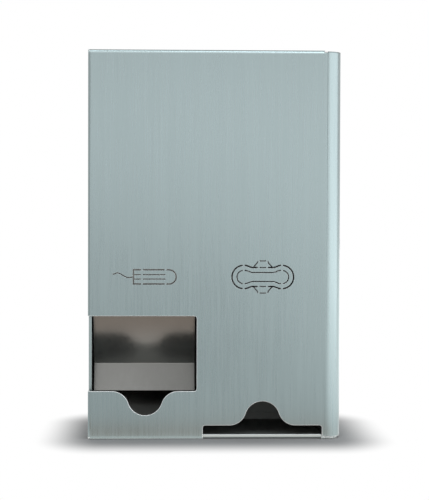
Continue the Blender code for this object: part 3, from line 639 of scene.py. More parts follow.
def roll_outline(inset):
    """The door's roll seen from above, this far inside its outer face."""
    centre = (ROLL_START, FRONT + ROLL_RADIUS)
    return arc(centre, ROLL_RADIUS - inset, -90, 0, ROLL_STEPS)


def make_door_sheet():
    """The door, made again with round folds and softened rims.

    Its rims have the second material, lighter as a painted highlight, and those of the relief at
    its top and of the roll's top beside it the third, darker as painted shade.
    """
    join_x = ROLL_START + RELIEF_WIDTH / 2
    low = (LEFT, FRONT, FLOOR_CLEARANCE)
    high = (ROLL_START, FLANGE_BACK, HEIGHT)
    door = rounded_block("door_sheet", low, high, FOLD_RADIUS)
    hollow = rounded_block(
        "door_hollow",
        (LEFT + DOOR_SHEET, FRONT + DOOR_SHEET, FLOOR_CLEARANCE + DOOR_SHEET),
        (join_x + OVERRUN, FLANGE_BACK + OVERRUN, HEIGHT - DOOR_SHEET),
        FOLD_RADIUS - DOOR_SHEET,
    )
    relief_low = ROLL_START - RELIEF_WIDTH / 2
    flat_x = relief_low + OVERLAP
    wall_end = DOOR_HIGH.y
    outline = [(flat_x, FRONT)] + roll_outline(0)
    outline += [(RIGHT, wall_end), (RIGHT - DOOR_SHEET, wall_end)]
    outline += roll_outline(DOOR_SHEET)[::-1] + [(flat_x, FRONT + DOOR_SHEET)]
    roll = prism("door_roll", [outline], ROLL_LIFT, ROLL_TOP, "Z")
    tab_front = FRONT + FOLD_RADIUS
    tab = [(SLOT_RIGHT + OVERLAP, tab_front), (join_x - OVERLAP, tab_front)]
    tab += [p for p in roll_outline(TAB_INSET) if p[0] > join_x and tab_front < p[1] < FLANGE_BACK]
    tab_reach = math.sqrt((ROLL_RADIUS - TAB_INSET) ** 2 - (ROLL_RADIUS - FLANGE_DEPTH) ** 2)
    tab += [(ROLL_START + tab_reach, FLANGE_BACK), (SLOT_RIGHT + OVERLAP, FLANGE_BACK)]
    foot = prism("door_foot_tab", [tab], FLOOR_CLEARANCE, FLOOR_CLEARANCE + DOOR_SHEET, "Z")
    relief = block(
        "top_relief",
        (relief_low, FRONT - OVERRUN, HEIGHT - RELIEF_DEPTH - ROLL_DROP),
        (relief_low + RELIEF_WIDTH, FLANGE_BACK + OVERRUN, HEIGHT + OVERRUN),
    )
    cut(door, hollow)
    for piece in (roll, foot):
        combine(door, piece, "UNION")
    cut(door, relief, window_cutter(), slot_cutter())
    cut(door, scoop_cutter("window_scoop", WINDOW_SCOOP_X, WINDOW_BOTTOM, -1))
    cut(door, scoop_cutter("slot_scoop", SLOT_MIDDLE, SLOT_HEIGHT, 1))
    lines = tampon_sign() + pad_sign()
    signs = prism("sign_cutter", lines, FRONT - OVERRUN, FRONT + DOOR_SHEET + OVERRUN, "Y")
    combine(door, signs, "DIFFERENCE", overlapping=True)
    pin = middle_of("hinge_pin_upper")
    lock = middle_of("lock_housing")
    cut(door, rod("hinge_hole", "Z", (pin.x, pin.y), PIN_HOLE, -OVERRUN, HEIGHT + OVERRUN))
    wall = (RIGHT - 2 * DOOR_SHEET, RIGHT + OVERRUN)
    cut(door, rod("lock_hole", "X", (lock.y, lock.z), LOCK_HOLE, *wall))
    soften(door, door_edge, material=1)
    # The rims at the relief and along the roll's top get the third material: painted shade
    shade_low = ROLL_TOP - RELIEF_DEPTH - RELIEF_RIM
    shade_left = relief_low - RELIEF_RIM
    for face in door.data.polygons:
        if face.material_index == 1 and face.center.z > shade_low and face.center.x > shade_left:
            face.material_index = 2
    return door


class Nodes:
    """A node tree, with short ways to add its nodes and to fill their inputs."""

    def __init__(self, tree):
        self.tree = tree

    def add(self, kind, **settings):
        node = self.tree.nodes.new(kind)
        for name, value in settings.items():
            setattr(node, name, value)
        return node

    def put(self, socket, value):
        """Links a socket, or sets its value."""
        if isinstance(value, bpy.types.NodeSocket):
            self.tree.links.new(value, socket)
        else:
            socket.default_value = value

    def fill(self, node, **inputs):
        """Fills a node's inputs by their names, with _ for a space."""
        for name, value in inputs.items():
            self.put(node.inputs[name.replace("_", " ")], value)
        return node

    def each(self, node, *values):
        """Fills a node's inputs in their order."""
        for socket, value in zip(node.inputs, values):
            self.put(socket, value)
        return node

    def math(self, operation, *values):
        node = self.add("ShaderNodeMath", operation=operation)
        return self.each(node, *values).outputs["Value"]

    def times(self, a, b):
        return self.math("MULTIPLY", a, b)


class Shader(Nodes):
    """A material's node tree, with what the finishes share."""

    def __init__(self, name):
        self.material = bpy.data.materials.new(name)
        self.material.use_nodes = True
        super().__init__(self.material.node_tree)
        self.principled = self.tree.nodes["Principled BSDF"]
        self.coordinates = self.add("ShaderNodeTexCoord")

    def hypot(self, a, b):
        square = self.math("ADD", self.times(a, a), self.times(b, b))
        return self.math("SQRT", square)

    def noise(self, scale, detail=2, roughness=0.5, distortion=0):
        """Noise in object space, scaled apart along each axis, in features to a metre."""
        mapping = self.add("ShaderNodeMapping")
        self.fill(mapping, Scale=scale, Vector=self.coordinates.outputs["Object"])
        noise = self.add("ShaderNodeTexNoise")
        self.fill(noise, Scale=1, Detail=detail, Roughness=roughness, Distortion=distortion)
        self.fill(noise, Vector=mapping.outputs["Vector"])
        return noise.outputs["Fac"]

    def spread(self, value, low, high, start=0.3, end=0.7, soft=False):
        """Maps a value from start and end to low and high; most noise is from 0.3 to 0.7."""
        ranged = self.add("ShaderNodeMapRange")
        if soft:
            ranged.interpolation_type = "SMOOTHSTEP"
        self.fill(ranged, Value=value, From_Min=start, From_Max=end, To_Min=low, To_Max=high)
        return ranged.outputs["Result"]

    def about(self, noise, middle, swing):
        """Maps a noise to a middle value, give or take a swing."""
        return self.spread(noise, middle - swing, middle + swing)

    def places(self):
        """The three object coordinates, one by one."""
        parts = self.add("ShaderNodeSeparateXYZ")
        self.put(parts.inputs["Vector"], self.coordinates.outputs["Object"])
        return parts.outputs["X"], parts.outputs["Y"], parts.outputs["Z"]

    def blend(self, factor, first, second):
        """A colour between two colours or colour sockets."""
        mix = self.fill(self.add("ShaderNodeMix", data_type="RGBA"), Factor=factor)
        colours = [socket for socket in mix.inputs if socket.type == "RGBA"]
        for socket, value in zip(colours, (first, second)):
            self.put(socket, value)
        return [socket for socket in mix.outputs if socket.type == "RGBA"][0]

    def shade(self, colour, factor):
        """A colour made lighter or darker by a factor."""
        scale = self.add("ShaderNodeVectorMath", operation="SCALE")
        self.put(scale.inputs[0], colour[:3] if isinstance(colour, tuple) else colour)
        self.put(scale.inputs["Scale"], factor)
        return scale.outputs["Vector"]

    def bump(self, height, strength, distance):
        bump = self.add("ShaderNodeBump")
        self.fill(bump, Height=height, Strength=strength, Distance=distance)
        self.fill(self.principled, Normal=bump.outputs["Normal"])

    def set(self, **values):
        self.fill(self.principled, **values)
        return self.material


def linear(red, green, blue):
    """A colour read on a screen, as the shader takes it."""
    values = []
    for value in (red, green, blue):
        share = value / 255
        values.append(share / 12.92 if share <= 0.04045 else ((share + 0.055) / 1.055) ** 2.4)
    return tuple(values) + (1.0,)


# Rows of spot welds on the back: whether upright, place across, pitch
BACK_WELDS = (
    (True, -121.65 * MM, 58 * MM),
    (True, -10.75 * MM, 58 * MM),
    (True, 100.65 * MM, 58 * MM),
    (False, 6.5 * MM, 45.5 * MM),
    (False, 381.5 * MM, 45.5 * MM),
)
WELD_EDGE = (1.9 * MM, 2.7 * MM)
WELD_TINT = linear(150, 142, 128)
WELD_TINT_SHARE = 0.35
WELD_DULLNESS = 0.12
WELD_DEPTH = 0.4
WELDED_BUMP = 0.35

# Brushing, in features to a metre along each axis
UPRIGHT_GRAIN = (620, 620, 14)
LEVEL_GRAIN = (14, 620, 620)
BROAD_SHARE = 0.22
CLOUDS = (9, 9, 9)
PATCH_SHARE = 0.15
PATCH_DISTORTION = 0.6
RING_GRAIN = (900, 900, 900)

# Fine noise: its detail and roughness, its height, and how strong and deep its bumps are
FINE_NOISE = (3, 0.6)
FINE_HEIGHT = 0.02
SHEET_BUMP = 0.12
GRAIN_DEPTH = 0.05 * MM

# How far tones and roughness swing
BROAD_SWING = 0.015
CLOUD_SWING = 0.02
FINE_SWING = 0.03
PATCH_SWING = 0.04
GRAIN_SWING = 0.05

# Painted light in the steel's colour: painted shade along the roll's top edge, a painted
# highlight along the top fold, the sheet above that highlight back at its own tone, and painted
# shade on the guide below its crease, darker to the right
FLAT_PART = (ROLL_START, ROLL_START - MM)
ROLL_EDGE_SHADE = (0.5, (ROLL_START, ROLL_START + MM), (ROLL_TOP - 1.2 * MM, ROLL_TOP - 0.7 * MM))
FOLD_HIGHLIGHT = (1.7, FLAT_PART, (HEIGHT - 3.6 * MM, HEIGHT - 2.8 * MM))
FOLD_HIGHLIGHT_END = (1 / 1.7, FLAT_PART, (HEIGHT - 1.6 * MM, HEIGHT - MM))
DOOR_PAINTED_LIGHT = (ROLL_EDGE_SHADE, FOLD_HIGHLIGHT, FOLD_HIGHLIGHT_END)
# Painted shade: the guide below its crease is darker, more so towards the right
LIP_SHADE = (0.74, (-95 * MM, -20 * MM), (GUIDE_CREASE + MM, GUIDE_CREASE - MM))


def weld_row(steel, across, place, along, pitch):
    """Spot welds at an even pitch on a line: 1 inside each mark and 0 outside."""
    aside = steel.math("SUBTRACT", across, place)
    repeated = steel.math("WRAP", along, pitch / 2, -pitch / 2)
    return steel.spread(steel.hypot(aside, repeated), 1, 0, *WELD_EDGE, soft=True)


def brushed_steel(name, colour, grain, roughness, streak=0.04, metal=1.0, welds=(), zones=()):
    """Stainless sheet brushed one way: grain gives the features to a metre along each axis.

    zones lists places of painted light: for each a factor, above 1 for a painted highlight and
    below 1 for painted shade, and the range of x and of z over which it comes in.
    """
    steel = Shader(name)
    fine = steel.noise(grain, *FINE_NOISE)
    broad = steel.noise(tuple(g * BROAD_SHARE for g in grain))
    cloudy = steel.noise(CLOUDS)
    streaks = steel.times(steel.about(fine, 1, streak), steel.about(broad, 1, BROAD_SWING))
    tone = steel.shade(colour, steel.times(streaks, steel.about(cloudy, 1, CLOUD_SWING)))
    x, _, z = steel.places()
    # Painted highlights and painted shade, laid into the colour place by place
    for factor, x_range, z_range in zones:
        zone = steel.times(steel.spread(x, 0, 1, *x_range), steel.spread(z, 0, 1, *z_range))
        tone = steel.shade(tone, steel.spread(zone, 1, factor, 0, 1))
    patches = steel.about(cloudy, roughness, CLOUD_SWING)
    rough = steel.math("ADD", steel.about(fine, 0, GRAIN_SWING), patches)
    height = steel.times(fine, FINE_HEIGHT)
    if welds:
        marks = 0.0
        for upright, place, pitch in welds:
            across, along = (x, z) if upright else (z, x)
            marks = steel.math("MAXIMUM", marks, weld_row(steel, across, place, along, pitch))
        tone = steel.blend(steel.times(marks, WELD_TINT_SHARE), tone, WELD_TINT)
        height = steel.math("SUBTRACT", height, steel.times(marks, WELD_DEPTH))
        rough = steel.math("ADD", rough, steel.times(marks, WELD_DULLNESS))
    steel.bump(height, WELDED_BUMP if welds else SHEET_BUMP, 1 * MM)
    return steel.set(Base_Color=tone, Roughness=rough, Metallic=metal)


def mottled(
    name, colour, other, scale, roughness, metal=1.0, bump=0.1, distance=GRAIN_DEPTH, **extra
):
    """A finish with soft patches of a second colour, and a fine grain."""
    made = Shader(name)
    patches = made.noise((scale * PATCH_SHARE,) * 3, distortion=PATCH_DISTORTION)
    grain = made.noise((scale,) * 3, *FINE_NOISE)
    tone = made.blend(made.spread(patches, 0, 1), colour, other)
    tone = made.shade(tone, made.about(grain, 1, GRAIN_SWING))
    rough = made.about(patches, roughness, PATCH_SWING)
    rough = made.math("ADD", rough, made.about(grain, 0, FINE_SWING))
    made.bump(grain, bump, distance)
    return made.set(Base_Color=tone, Roughness=rough, Metallic=metal, **extra)


def ringed(name, colour, axis, scale, roughness, bump):
    """A turned finish: fine rings along the x or z axis."""
    made = Shader(name)
    x, _, z = made.places()
    along = x if axis == "X" else z
    rings = made.math("SINE", made.times(along, scale * 2 * math.pi))
    grain = made.noise(RING_GRAIN)
    shine = made.spread(rings, -FINE_SWING, FINE_SWING, -1, 1)
    factor = made.math("ADD", shine, made.about(grain, 1, FINE_SWING))
    rough = made.about(grain, roughness, PATCH_SWING)
    made.bump(rings, bump, GRAIN_DEPTH)
    return made.set(Base_Color=made.shade(colour, factor), Roughness=rough, Metallic=1.0)


door_steel = brushed_steel(
    "door_brushed_steel", linear(138, 150, 151), UPRIGHT_GRAIN, 0.29, zones=DOOR_PAINTED_LIGHT
)
# The door's rims: deburred steel, and lighter than the face as a painted highlight along them
rim_steel = mottled("deburred_rim_and_highlight", (0.74, 0.76, 0.76, 1), (0.82, 0.84, 0.83, 1), 700, 0.4, 0.4)
# The relief's rims: darker than the steel as painted shade
relief_rim_shade = mottled("relief_rim_painted_shade", linear(96, 104, 106), linear(110, 117, 118), 900, 0.5)
side_steel = brushed_steel("side_brushed_steel", linear(147, 158, 158), UPRIGHT_GRAIN, 0.34)
back_steel = brushed_steel(
    "back_brushed_steel", linear(147, 157, 157), UPRIGHT_GRAIN, 0.36, welds=BACK_WELDS
)
level_steel = brushed_steel("top_brushed_steel", linear(147, 157, 157), LEVEL_GRAIN, 0.36)
# Mill finish inside the cabinet, made darker than the brushed steel as painted shade
bay_steel_and_shade = brushed_steel("bay_mill_steel_and_shade", linear(118, 121, 119), (240, 240, 30), 0.5, 0.06, 0.7)
# The shelf's rolled hem, lighter than the cabinet's steel on its front faces as a painted highlight
hem_steel_and_highlight = brushed_steel("hem_rolled_steel_and_highlight", linear(170, 174, 172), LEVEL_GRAIN, 0.3, 0.03)
ramp_steel = brushed_steel(
    "ramp_mill_steel", linear(122, 122, 118), (260, 20, 260), 0.45, 0.05, 0.8
)
guide_steel = brushed_steel(
    "guide_rolled_steel", linear(138, 138, 135), (500, 500, 8), 0.19, 0.02, 0.75, zones=(LIP_SHADE,)
)
zinc_plate = mottled("zinc_plating", linear(186, 187, 184), linear(190, 184, 166), 600, 0.32)
screw_zinc = mottled("screw_zinc", linear(196, 197, 196), linear(186, 181, 168), 900, 0.26)
pin_steel = ringed("turned_pin_steel", linear(176, 178, 178), "Z", 2200, 0.22, 0.08)
lock_chrome = ringed("lock_chrome", linear(164, 167, 168), "X", 1250, 0.16, 0.1)
lock_brass = mottled("lock_brass", linear(198, 172, 112), linear(170, 140, 88), 500, 0.3)
nylon_white = (linear(232, 230, 222), linear(222, 218, 206))
white_nylon = mottled("white_nylon", *nylon_white, 400, 0.5, 0.0, 0.15, Subsurface_Weight=0.2)
rubber_black = ((0.018, 0.018, 0.019, 1), (0.03, 0.03, 0.029, 1))
black_rubber = mottled("black_rubber", *rubber_black, 1500, 0.78, 0.0, 0.4, 0.1 * MM)


def dress(obj, materials, *replaced, slot, body="cabinet"):
    materials = materials if isinstance(materials, tuple) else (materials,)
    while len(obj.data.materials) < len(materials):
        obj.data.materials.append(None)
    for index, material in enumerate(materials):
        obj.data.materials[index] = material
    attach(obj, body)
    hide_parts(*replaced)


def plate(node, name, rim, materials, slot, body="cabinet"):
    """A node's own mesh with softened rims, dressed in place of it."""
    obj = link(name, frame["nodes"][node].data.copy())
    soften(obj, even(rim))
    dress(obj, materials, node, slot=slot, body=body)
    return obj


def second_side(face, node):
    """Whether a face has the second finish: a mill side in the cabinet, partly painted shade, or
    the shelf's hem, partly painted highlight.
    """
    to_front = face.normal.y < -FACING
    if node in ("back_panel", "pad_shelf"):
        return to_front
    inward = {
        "left_side_panel": face.normal.x,
        "top_panel": -face.normal.z,
        "bottom_panel": face.normal.z,
    }.get(node)
    if inward is None:
        return False
    return face.center.y > BODY_FRONT + INNER_SHEET and (inward > FACING or to_front)


def make_body_sheets():
    """The cabinet's folded sheets, with softened rims and a second finish where they have one."""
    for node, name, steel, slot in (
        ("back_panel", "back_sheet", back_steel, "body_steel"),
        ("left_side_panel", "left_sheet", side_steel, "body_steel"),
        ("top_panel", "top_sheet", level_steel, "body_steel"),
        ("bottom_panel", "bottom_sheet", level_steel, "body_steel"),
        ("bay_divider", "divider_sheet", bay_steel_and_shade, "inner_steel"),
        ("pad_bay_right_wall", "pad_wall_sheet", bay_steel_and_shade, "inner_steel"),
        ("pad_shelf", "shelf_sheet", bay_steel_and_shade, "inner_steel"),
    ):
        second = hem_steel_and_highlight if node == "pad_shelf" else bay_steel_and_shade
        sheet = plate(node, name, BODY_RIM, (steel, second), slot)
        for face in sheet.data.polygons:
            face.material_index = 1 if second_side(face, node) else 0


def make_tampon_bay():
    """The guide behind the window and the ramp under it, folded anew with round bends."""
    low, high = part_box("tampon_guide_plate")
    face = low.y
    path = [
        (face, high.z),
        (face, GUIDE_KNEE),
        (FRONT + GUIDE_CREASE_DEPTH, GUIDE_CREASE),
        (FRONT + GUIDE_LIP_DEPTH, GUIDE_LIP),
    ]
    guide = prism("guide_sheet", [folded(path, INNER_SHEET, GUIDE_BEND)], low.x, high.x, "X")
    trim_low = (high.x - GUIDE_RIGHT_CUT + BAY_CLEARANCE, FRONT, 0)
    trim_high = (high.x + OVERRUN, DOOR_HIGH.y, WINDOW_TOP + OVERRUN)
    cut(guide, block("guide_trim", trim_low, trim_high))
    soften(guide, even(BAY_RIM))
    dress(guide, guide_steel, "tampon_guide_plate", slot="inner_steel")
    low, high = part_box("tampon_ramp")
    path = [(low.y, RAMP_FRONT), (high.y, RAMP_BACK), (high.y, RAMP_BACK + RAMP_STOP)]
    ramp = prism("ramp_sheet", [folded(path, INNER_SHEET, RAMP_BEND)], low.x, high.x, "X")
    side_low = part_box("left_side_panel")[0]
    notch = (side_low.x + CORNER_NOTCH, side_low.y + INNER_SHEET + BAY_CLEARANCE, RAMP_BACK)
    cut(ramp, block("ramp_corner", (LEFT, FRONT, 0), notch))
    soften(ramp, even(BAY_RIM))
    dress(ramp, ramp_steel, "tampon_ramp", slot="inner_steel")


def make_hinges():
    """Bracket, riveted pin and nylon washer, above and below."""
    for level in ("upper", "lower"):
        names = (f"hinge_bracket_{level}", f"hinge_plate_{level}")
        plate(*names, BRACKET_RIM, zinc_plate, "zinc_steel")
        low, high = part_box(f"hinge_pin_{level}")
        centre = ((low.x + high.x) / 2, (low.y + high.y) / 2)
        head, tip, way = (low.z, high.z, 1) if level == "upper" else (high.z, low.z, -1)
        profile = [(head, 0)]
        for share, width in PIN_HEAD_CURVE:
            profile.append((head + way * PIN_HEAD * share, PIN_HEAD_RADIUS * width))
        profile += [(head + way * PIN_HEAD, PIN_RADIUS), (tip - way * PIN_CHAMFER, PIN_RADIUS)]
        profile += [(tip, PIN_RADIUS - PIN_CHAMFER), (tip, 0)]
        pin = turned(f"hinge_rivet_{level}", "Z", centre, profile)
        dress(pin, pin_steel, f"hinge_pin_{level}", slot="zinc_steel")
        low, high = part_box(f"hinge_washer_{level}")
        radius = (high.x - low.x) / 2
        inset = radius - WASHER_RIM
        profile = [(low.z, PIN_HOLE), (low.z, inset), (low.z + WASHER_RIM, radius)]
        profile += [(high.z - WASHER_RIM, radius), (high.z, inset), (high.z, PIN_HOLE)]
        washer = turned(f"hinge_ring_{level}", "Z", centre, profile, closed=True)
        dress(washer, white_nylon, f"hinge_washer_{level}", slot="white_nylon")


def make_buffers():
    """Two rubber domes that the closed door rests on."""
    for number in (1, 2):
        low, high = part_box(f"door_buffer_{number}")
        centre = ((low.x + high.x) / 2, (low.z + high.z) / 2)
        radius = (high.x - low.x) / 2
        length = high.y - low.y
        profile = [(low.y, 0)]
        for step in range(1, BUFFER_STEPS + 1):
            angle = math.radians(90 * step / BUFFER_STEPS)
            along = low.y + length * BUFFER_DOME * (1 - math.cos(angle))
            profile.append((along, radius * BUFFER_WAIST * math.sin(angle)))
        profile += [(high.y - length * BUFFER_FOOT, radius), (high.y, radius), (high.y, 0)]
        dome = turned(f"buffer_dome_{number}", "Y", centre, profile, steps=BUFFER_ROUND_STEPS)
        dress(dome, black_rubber, f"door_buffer_{number}", slot="black_rubber")


def make_lock():
    """The cam lock on the door's wall, and the keeper on the pad bay that its cam hooks behind."""
    low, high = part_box("lock_housing")
    centre = ((low.y + high.y) / 2, (low.z + high.z) / 2)
    seat = high.x - LOCK_FLANGE
    wide = LOCK_FLANGE_RADIUS
    bulge = LOCK_RIM * RIM_MIDDLE
    profile = [(low.x, LOCK_BORE), (low.x, BARREL_RADIUS - LOCK_RIM)]
    profile += [(low.x + LOCK_RIM, BARREL_RADIUS), (seat, BARREL_RADIUS), (seat, wide)]
    profile += [(high.x - LOCK_RIM, wide), (high.x - bulge, wide - bulge)]
    profile += [(high.x, wide - LOCK_RIM), (high.x, LOCK_BORE + LOCK_RIM)]
    profile += [(high.x - LOCK_RIM, LOCK_BORE)]
    housing = turned("lock_barrel", "X", centre, profile, closed=True, steps=LOCK_STEPS)
    dress(housing, lock_chrome, "lock_housing", slot="lock_chrome", body="door")
    low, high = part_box("lock_plug")
    profile = [(low.x, 0), (low.x, PLUG_RADIUS), (high.x - PLUG_RIM, PLUG_RADIUS)]
    profile += [(high.x, PLUG_RADIUS - PLUG_RIM), (high.x, 0)]
    plug = turned("lock_keyed_plug", "X", centre, profile, steps=LOCK_STEPS)
    y, z = centre
    keyway_low = (high.x - KEYWAY_DEPTH, y - KEYWAY_WIDTH / 2, z - KEYWAY_HEIGHT / 2)
    keyway_high = (high.x + OVERRUN, y + KEYWAY_WIDTH / 2, z + KEYWAY_HEIGHT / 2)
    thread = (SCREW_RADIUS + BAY_CLEARANCE, low.x - OVERRUN, low.x + THREAD_DEPTH)
    cut(plug, block("keyway", keyway_low, keyway_high), rod("plug_thread", "X", centre, *thread))
    dress(rounded(plug), lock_brass, "lock_plug", slot="lock_brass", body="lock_core")
    low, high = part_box("lock_nut")
    outline = arc(centre, NUT_RADIUS, 0, 360, NUT_SIDES)[:-1]
    hexagon = prism("lock_ring_nut", [outline], low.x, high.x, "X")
    flat = NUT_RADIUS * math.cos(math.pi / NUT_SIDES)
    profile = [(low.x, 0), (low.x, flat), (low.x + NUT_CHAMFER, NUT_RADIUS + OVERLAP)]
    profile += [(high.x, NUT_RADIUS + OVERLAP), (high.x, 0)]
    combine(hexagon, turned("nut_chamfer", "X", centre, profile), "INTERSECT")
    cut(hexagon, rod("nut_bore", "X", centre, LOCK_HOLE, low.x - OVERRUN, high.x + OVERRUN))
    dress(rounded(hexagon), lock_brass, "lock_nut", slot="lock_brass", body="door")
    plate("lock_cam", "cam_plate", CAM_RIM, zinc_plate, "zinc_steel", "lock_core")
    plate("lock_keeper", "keeper_angle", BODY_RIM, zinc_plate, "zinc_steel")


def pan_head_tree():
    """Geometry Nodes that put a pan-head screw with a cross recess on each point."""
    group = bpy.data.node_groups.new("pan_head_screws", "GeometryNodeTree")
    face = group.interface
    face.new_socket("Geometry", in_out="INPUT", socket_type="NodeSocketGeometry")
    for name in ("Head Radius", "Head Height", "Shank Radius", "Recess Reach"):
        face.new_socket(name, in_out="INPUT", socket_type="NodeSocketFloat")
    face.new_socket("Plating", in_out="INPUT", socket_type="NodeSocketMaterial")
    face.new_socket("Geometry", in_out="OUTPUT", socket_type="NodeSocketGeometry")
    tree = Nodes(group)

    def made(kind, output, **inputs):
        return tree.fill(tree.add(kind), **inputs).outputs[output]

    def attribute(name, kind):
        node = tree.add("GeometryNodeInputNamedAttribute", data_type=kind)
        return tree.fill(node, Name=name).outputs["Attribute"]

    def vector(x, y, z):
        return made("ShaderNodeCombineXYZ", "Vector", X=x, Y=y, Z=z)

    def joined(*parts):
        node = tree.add("GeometryNodeJoinGeometry")
        for part in parts:
            tree.put(node.inputs["Geometry"], part)
        return node.outputs["Geometry"]

    given = tree.add("NodeGroupInput").outputs
    radius, height = given["Head Radius"], given["Head Height"]

    # The head: a ball, pressed flat by a power of its height
    steps = {"Segments": HEAD_STEPS, "Rings": HEAD_STEPS // 2}
    ball = made("GeometryNodeMeshUVSphere", "Mesh", Radius=1.0, **steps)
    parts = tree.add("ShaderNodeSeparateXYZ")
    tree.put(parts.inputs["Vector"], made("GeometryNodeInputPosition", "Position"))
    crown = tree.math("POWER", tree.math("MAXIMUM", parts.outputs["Z"], 0.0), CROWN_POWER)
    place = vector(
        tree.times(parts.outputs["X"], radius),
        tree.times(parts.outputs["Y"], radius),
        tree.times(crown, height),
    )
    head = made("GeometryNodeSetPosition", "Geometry", Geometry=ball, Position=place)

    # The recess: two crossed bars
    width = tree.times(given["Recess Reach"], RECESS_WIDTH)
    reach = tree.times(given["Recess Reach"], 2.0)
    lift = vector(0.0, 0.0, tree.times(height, RECESS_LIFT))
    bars = []
    for size in (vector(reach, width, height), vector(width, reach, height)):
        bar = made("GeometryNodeMeshCube", "Mesh", Size=size)
        bars.append(made("GeometryNodeTransform", "Geometry", Geometry=bar, Translation=lift))
    carve = tree.add("GeometryNodeMeshBoolean", operation="DIFFERENCE", solver="EXACT")
    tree.fill(carve, Mesh_1=head, Mesh_2=joined(*bars), Self_Intersection=True)

    # The shank, as long as the point's reach
    round_bar = {"Vertices": SHANK_STEPS, "Radius": given["Shank Radius"], "Depth": 1.0}
    shank = made("GeometryNodeMeshCylinder", "Mesh", **round_bar)
    shank = made("GeometryNodeTransform", "Geometry", Geometry=shank, Translation=(0, 0, -0.5))
    drive = attribute("drive", "FLOAT_VECTOR")
    depth = attribute("reach", "FLOAT")
    along = tree.fill(tree.add("FunctionNodeAlignRotationToVector", axis="Z"), Vector=drive)
    placed = {"Points": given["Geometry"], "Rotation": along.outputs["Rotation"]}
    put_on = "GeometryNodeInstanceOnPoints"
    heads = made(put_on, "Instances", Instance=carve.outputs["Mesh"], **placed)
    chance = tree.add("FunctionNodeRandomValue", data_type="FLOAT")
    chance.inputs["Seed"].default_value = TURN_SEED
    numbers = [socket for socket in chance.inputs if socket.type == "VALUE"]
    limit = [socket for socket in numbers if socket.name == "Max"][0]
    limit.default_value = math.pi / 2
    drawn = [socket for socket in chance.outputs if socket.type == "VALUE"][0]
    turn = vector(0.0, 0.0, drawn)
    spun = made("GeometryNodeRotateInstances", "Instances", Instances=heads, Rotation=turn)
    shanks = made(put_on, "Instances", Instance=shank, Scale=vector(1.0, 1.0, depth), **placed)
    real = made("GeometryNodeRealizeInstances", "Geometry", Geometry=joined(spun, shanks))
    plated = made("GeometryNodeSetMaterial", "Geometry", Geometry=real, Material=given["Plating"])
    tree.put(tree.add("NodeGroupOutput").inputs["Geometry"], plated)
    return group


def make_screws():
    """Seven pan-head screws, placed by the boxes of the nodes that they stand for."""
    tree = pan_head_tree()
    items = tree.interface.items_tree
    inputs = {item.name: item.identifier for item in items if item.in_out == "INPUT"}
    hinge = [f"hinge_screw_{level}_{number}" for level in ("upper", "lower") for number in (1, 2)]
    keeper = ["keeper_screw_1", "keeper_screw_2"]
    for name, body, nodes, axis, way, head, radius in (
        ("hinge_pan_screws", "cabinet", hinge, 2, 1, SCREW_HEAD, SCREW_HEAD_RADIUS),
        ("keeper_pan_screws", "cabinet", keeper, 0, 1, KEEPER_HEAD, KEEPER_HEAD_RADIUS),
        ("cam_pan_screw", "lock_core", ["cam_screw"], 0, -1, CAM_HEAD, SCREW_HEAD_RADIUS),
    ):
        drive = Vector((0, 0, 0))
        drive[axis] = way
        seats = []
        reaches = []
        for node in nodes:
            low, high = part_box(node)
            seat = (low + high) / 2
            seat[axis] = high[axis] - head if way > 0 else low[axis] + head
            seats.append(seat)
            reaches.append(high[axis] - low[axis] - head)
        mesh = bpy.data.meshes.new(name)
        mesh.from_pydata(seats, [], [])
        drives = mesh.attributes.new("drive", "FLOAT_VECTOR", "POINT").data
        drives.foreach_set("vector", list(drive) * len(nodes))
        mesh.attributes.new("reach", "FLOAT", "POINT").data.foreach_set("value", reaches)
        screws = link(name, mesh)
        change = screws.modifiers.new("screws", "NODES")
        change.node_group = tree
        for title, value in (
            ("Head Radius", radius),
            ("Head Height", head),
            ("Shank Radius", SCREW_RADIUS),
            ("Recess Reach", radius * RECESS_REACH),
            ("Plating", screw_zinc),
        ):
            change[inputs[title]] = value
        rounded(solidified(screws))
        dress(screws, screw_zinc, *nodes, slot="zinc_steel", body=body)


def area_light(name, place, target, size, radiance, colour):
    """A soft box of this size, radiance as seen in a mirror."""
    lamp = bpy.data.lights.new(name, "AREA")
    lamp.shape = "RECTANGLE"
    lamp.size, lamp.size_y = size
    lamp.energy = math.pi * size[0] * size[1] * radiance
    lamp.color = colour
    direction = Vector(target) - Vector(place)
    obj = link(name, lamp)
    obj.location = place
    obj.rotation_euler = direction.to_track_quat("-Z", "Y").to_euler()


def lights():
    """A low key light in front, one above, and one for the roll at the right."""
    for lamp in LAMPS:
        area_light(*lamp)


def camera():
    """A long lens, a little left of the middle and above it."""
    lens = bpy.data.cameras.new("camera")
    lens.sensor_fit = "AUTO"
    lens.sensor_width = SENSOR_WIDTH
    lens.lens = FOCAL_LENGTH
    lens.clip_start = CLIP_START
    lens.clip_end = CLIP_END
    turn = (CAMERA_TARGET - CAMERA_PLACE).to_track_quat("-Z", "Y").to_matrix().to_4x4()
    obj = link("camera", lens)
    roll = Matrix.Rotation(CAMERA_ROLL, 4, "Z")
    obj.matrix_world = Matrix.Translation(CAMERA_PLACE) @ turn @ roll
    scene.camera = obj


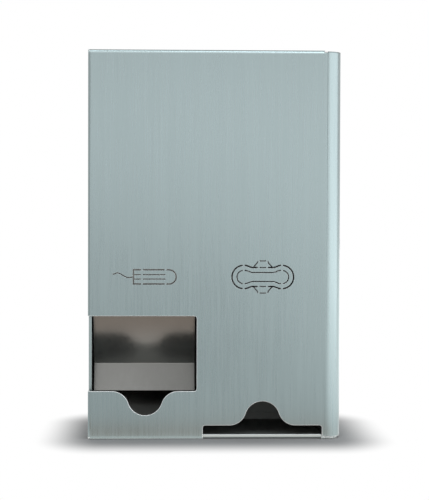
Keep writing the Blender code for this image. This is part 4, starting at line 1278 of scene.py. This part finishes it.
def floor():
    """A floor, dark grey round the dispenser's foot and white beyond: a painted shadow with the
    real one in it.

    Mirrored in the steel it glows warm in front of the foot, and lighter to the right: painted
    reflections.
    """
    mesh = bpy.data.meshes.new("floor")
    ends = (-FLOOR_SIZE, FLOOR_SIZE)
    corners = [(ends[a], ends[b], 0) for a, b in ((0, 0), (1, 0), (1, 1), (0, 1))]
    mesh.from_pydata(corners, [], [(0, 1, 2, 3)])
    obj = link("floor", mesh)
    paper = Shader("white_paper")
    paper.set(Base_Color=FLOOR_COLOUR, Roughness=FLOOR_ROUGHNESS)
    x, y, _ = paper.places()

    def past(value, edge):
        outside = paper.math("SUBTRACT", paper.math("ABSOLUTE", value), edge)
        return paper.math("MAXIMUM", outside, 0.0)

    beside = paper.times(past(x, SHADE_WIDTH / 2), SIDE_PACE)
    before = past(y, SHADE_DEPTH / 2)
    away = paper.hypot(beside, before)
    open_floor = paper.spread(away, 0, 1, *SHADE_FADE, soft=True)
    ray = paper.add("ShaderNodeLightPath").outputs
    mirrored = paper.math("MAXIMUM", ray["Is Glossy Ray"], ray["Is Transmission Ray"])
    # Painted reflections: the floor as the steel mirrors it glows warm at the foot and lighter to
    # the right
    warm = paper.blend(paper.spread(before, 0, 1, *GLOW_FADE), FOOT_GLOW, WARM_REFLECTION)
    nearby = paper.blend(paper.spread(away, 0, 1, *WARM_FADE), warm, COOL_REFLECTION)
    reflected = paper.shade(nearby, paper.spread(x, 1, RIGHT_GAIN, *RIGHT_FADE))

    def mixed(*values):
        return paper.each(paper.add("ShaderNodeMixShader"), *values).outputs["Shader"]

    def glow(**inputs):
        return paper.fill(paper.add("ShaderNodeEmission"), **inputs).outputs["Emission"]

    # Painted shadow: camera rays see the floor dark grey and lamp-lit near the foot, and glowing
    # white further away
    seen_white = paper.times(open_floor, ray["Is Camera Ray"])
    shaded = mixed(seen_white, paper.principled.outputs["BSDF"], glow())
    surface = paper.tree.nodes["Material Output"].inputs["Surface"]
    paper.put(surface, mixed(mirrored, shaded, glow(Color=reflected)))
    obj.data.materials.append(paper.material)


def world():
    """Soft studio light from all round, and white behind everything and in mirrors."""
    scene.world = bpy.data.worlds.new("studio")
    scene.world.use_nodes = True
    studio = Nodes(scene.world.node_tree)
    ray = studio.add("ShaderNodeLightPath").outputs
    seen = studio.math("MAXIMUM", ray["Is Camera Ray"], ray["Is Glossy Ray"])
    strength = studio.fill(studio.add("ShaderNodeMapRange"), Value=seen, To_Min=SOFT_LIGHT)
    background = studio.tree.nodes["Background"]
    studio.fill(background, Color=(1, 1, 1, 1), Strength=strength.outputs["Result"])


scene.view_settings.view_transform = "Standard"
camera()
world()
floor()
lights()

door_finishes = (door_steel, rim_steel, relief_rim_shade)
dress(make_door_sheet(), door_finishes, "front_door", slot="door_steel", body="door")
make_body_sheets()
make_tampon_bay()
make_hinges()
make_buffers()
make_lock()
make_screws()
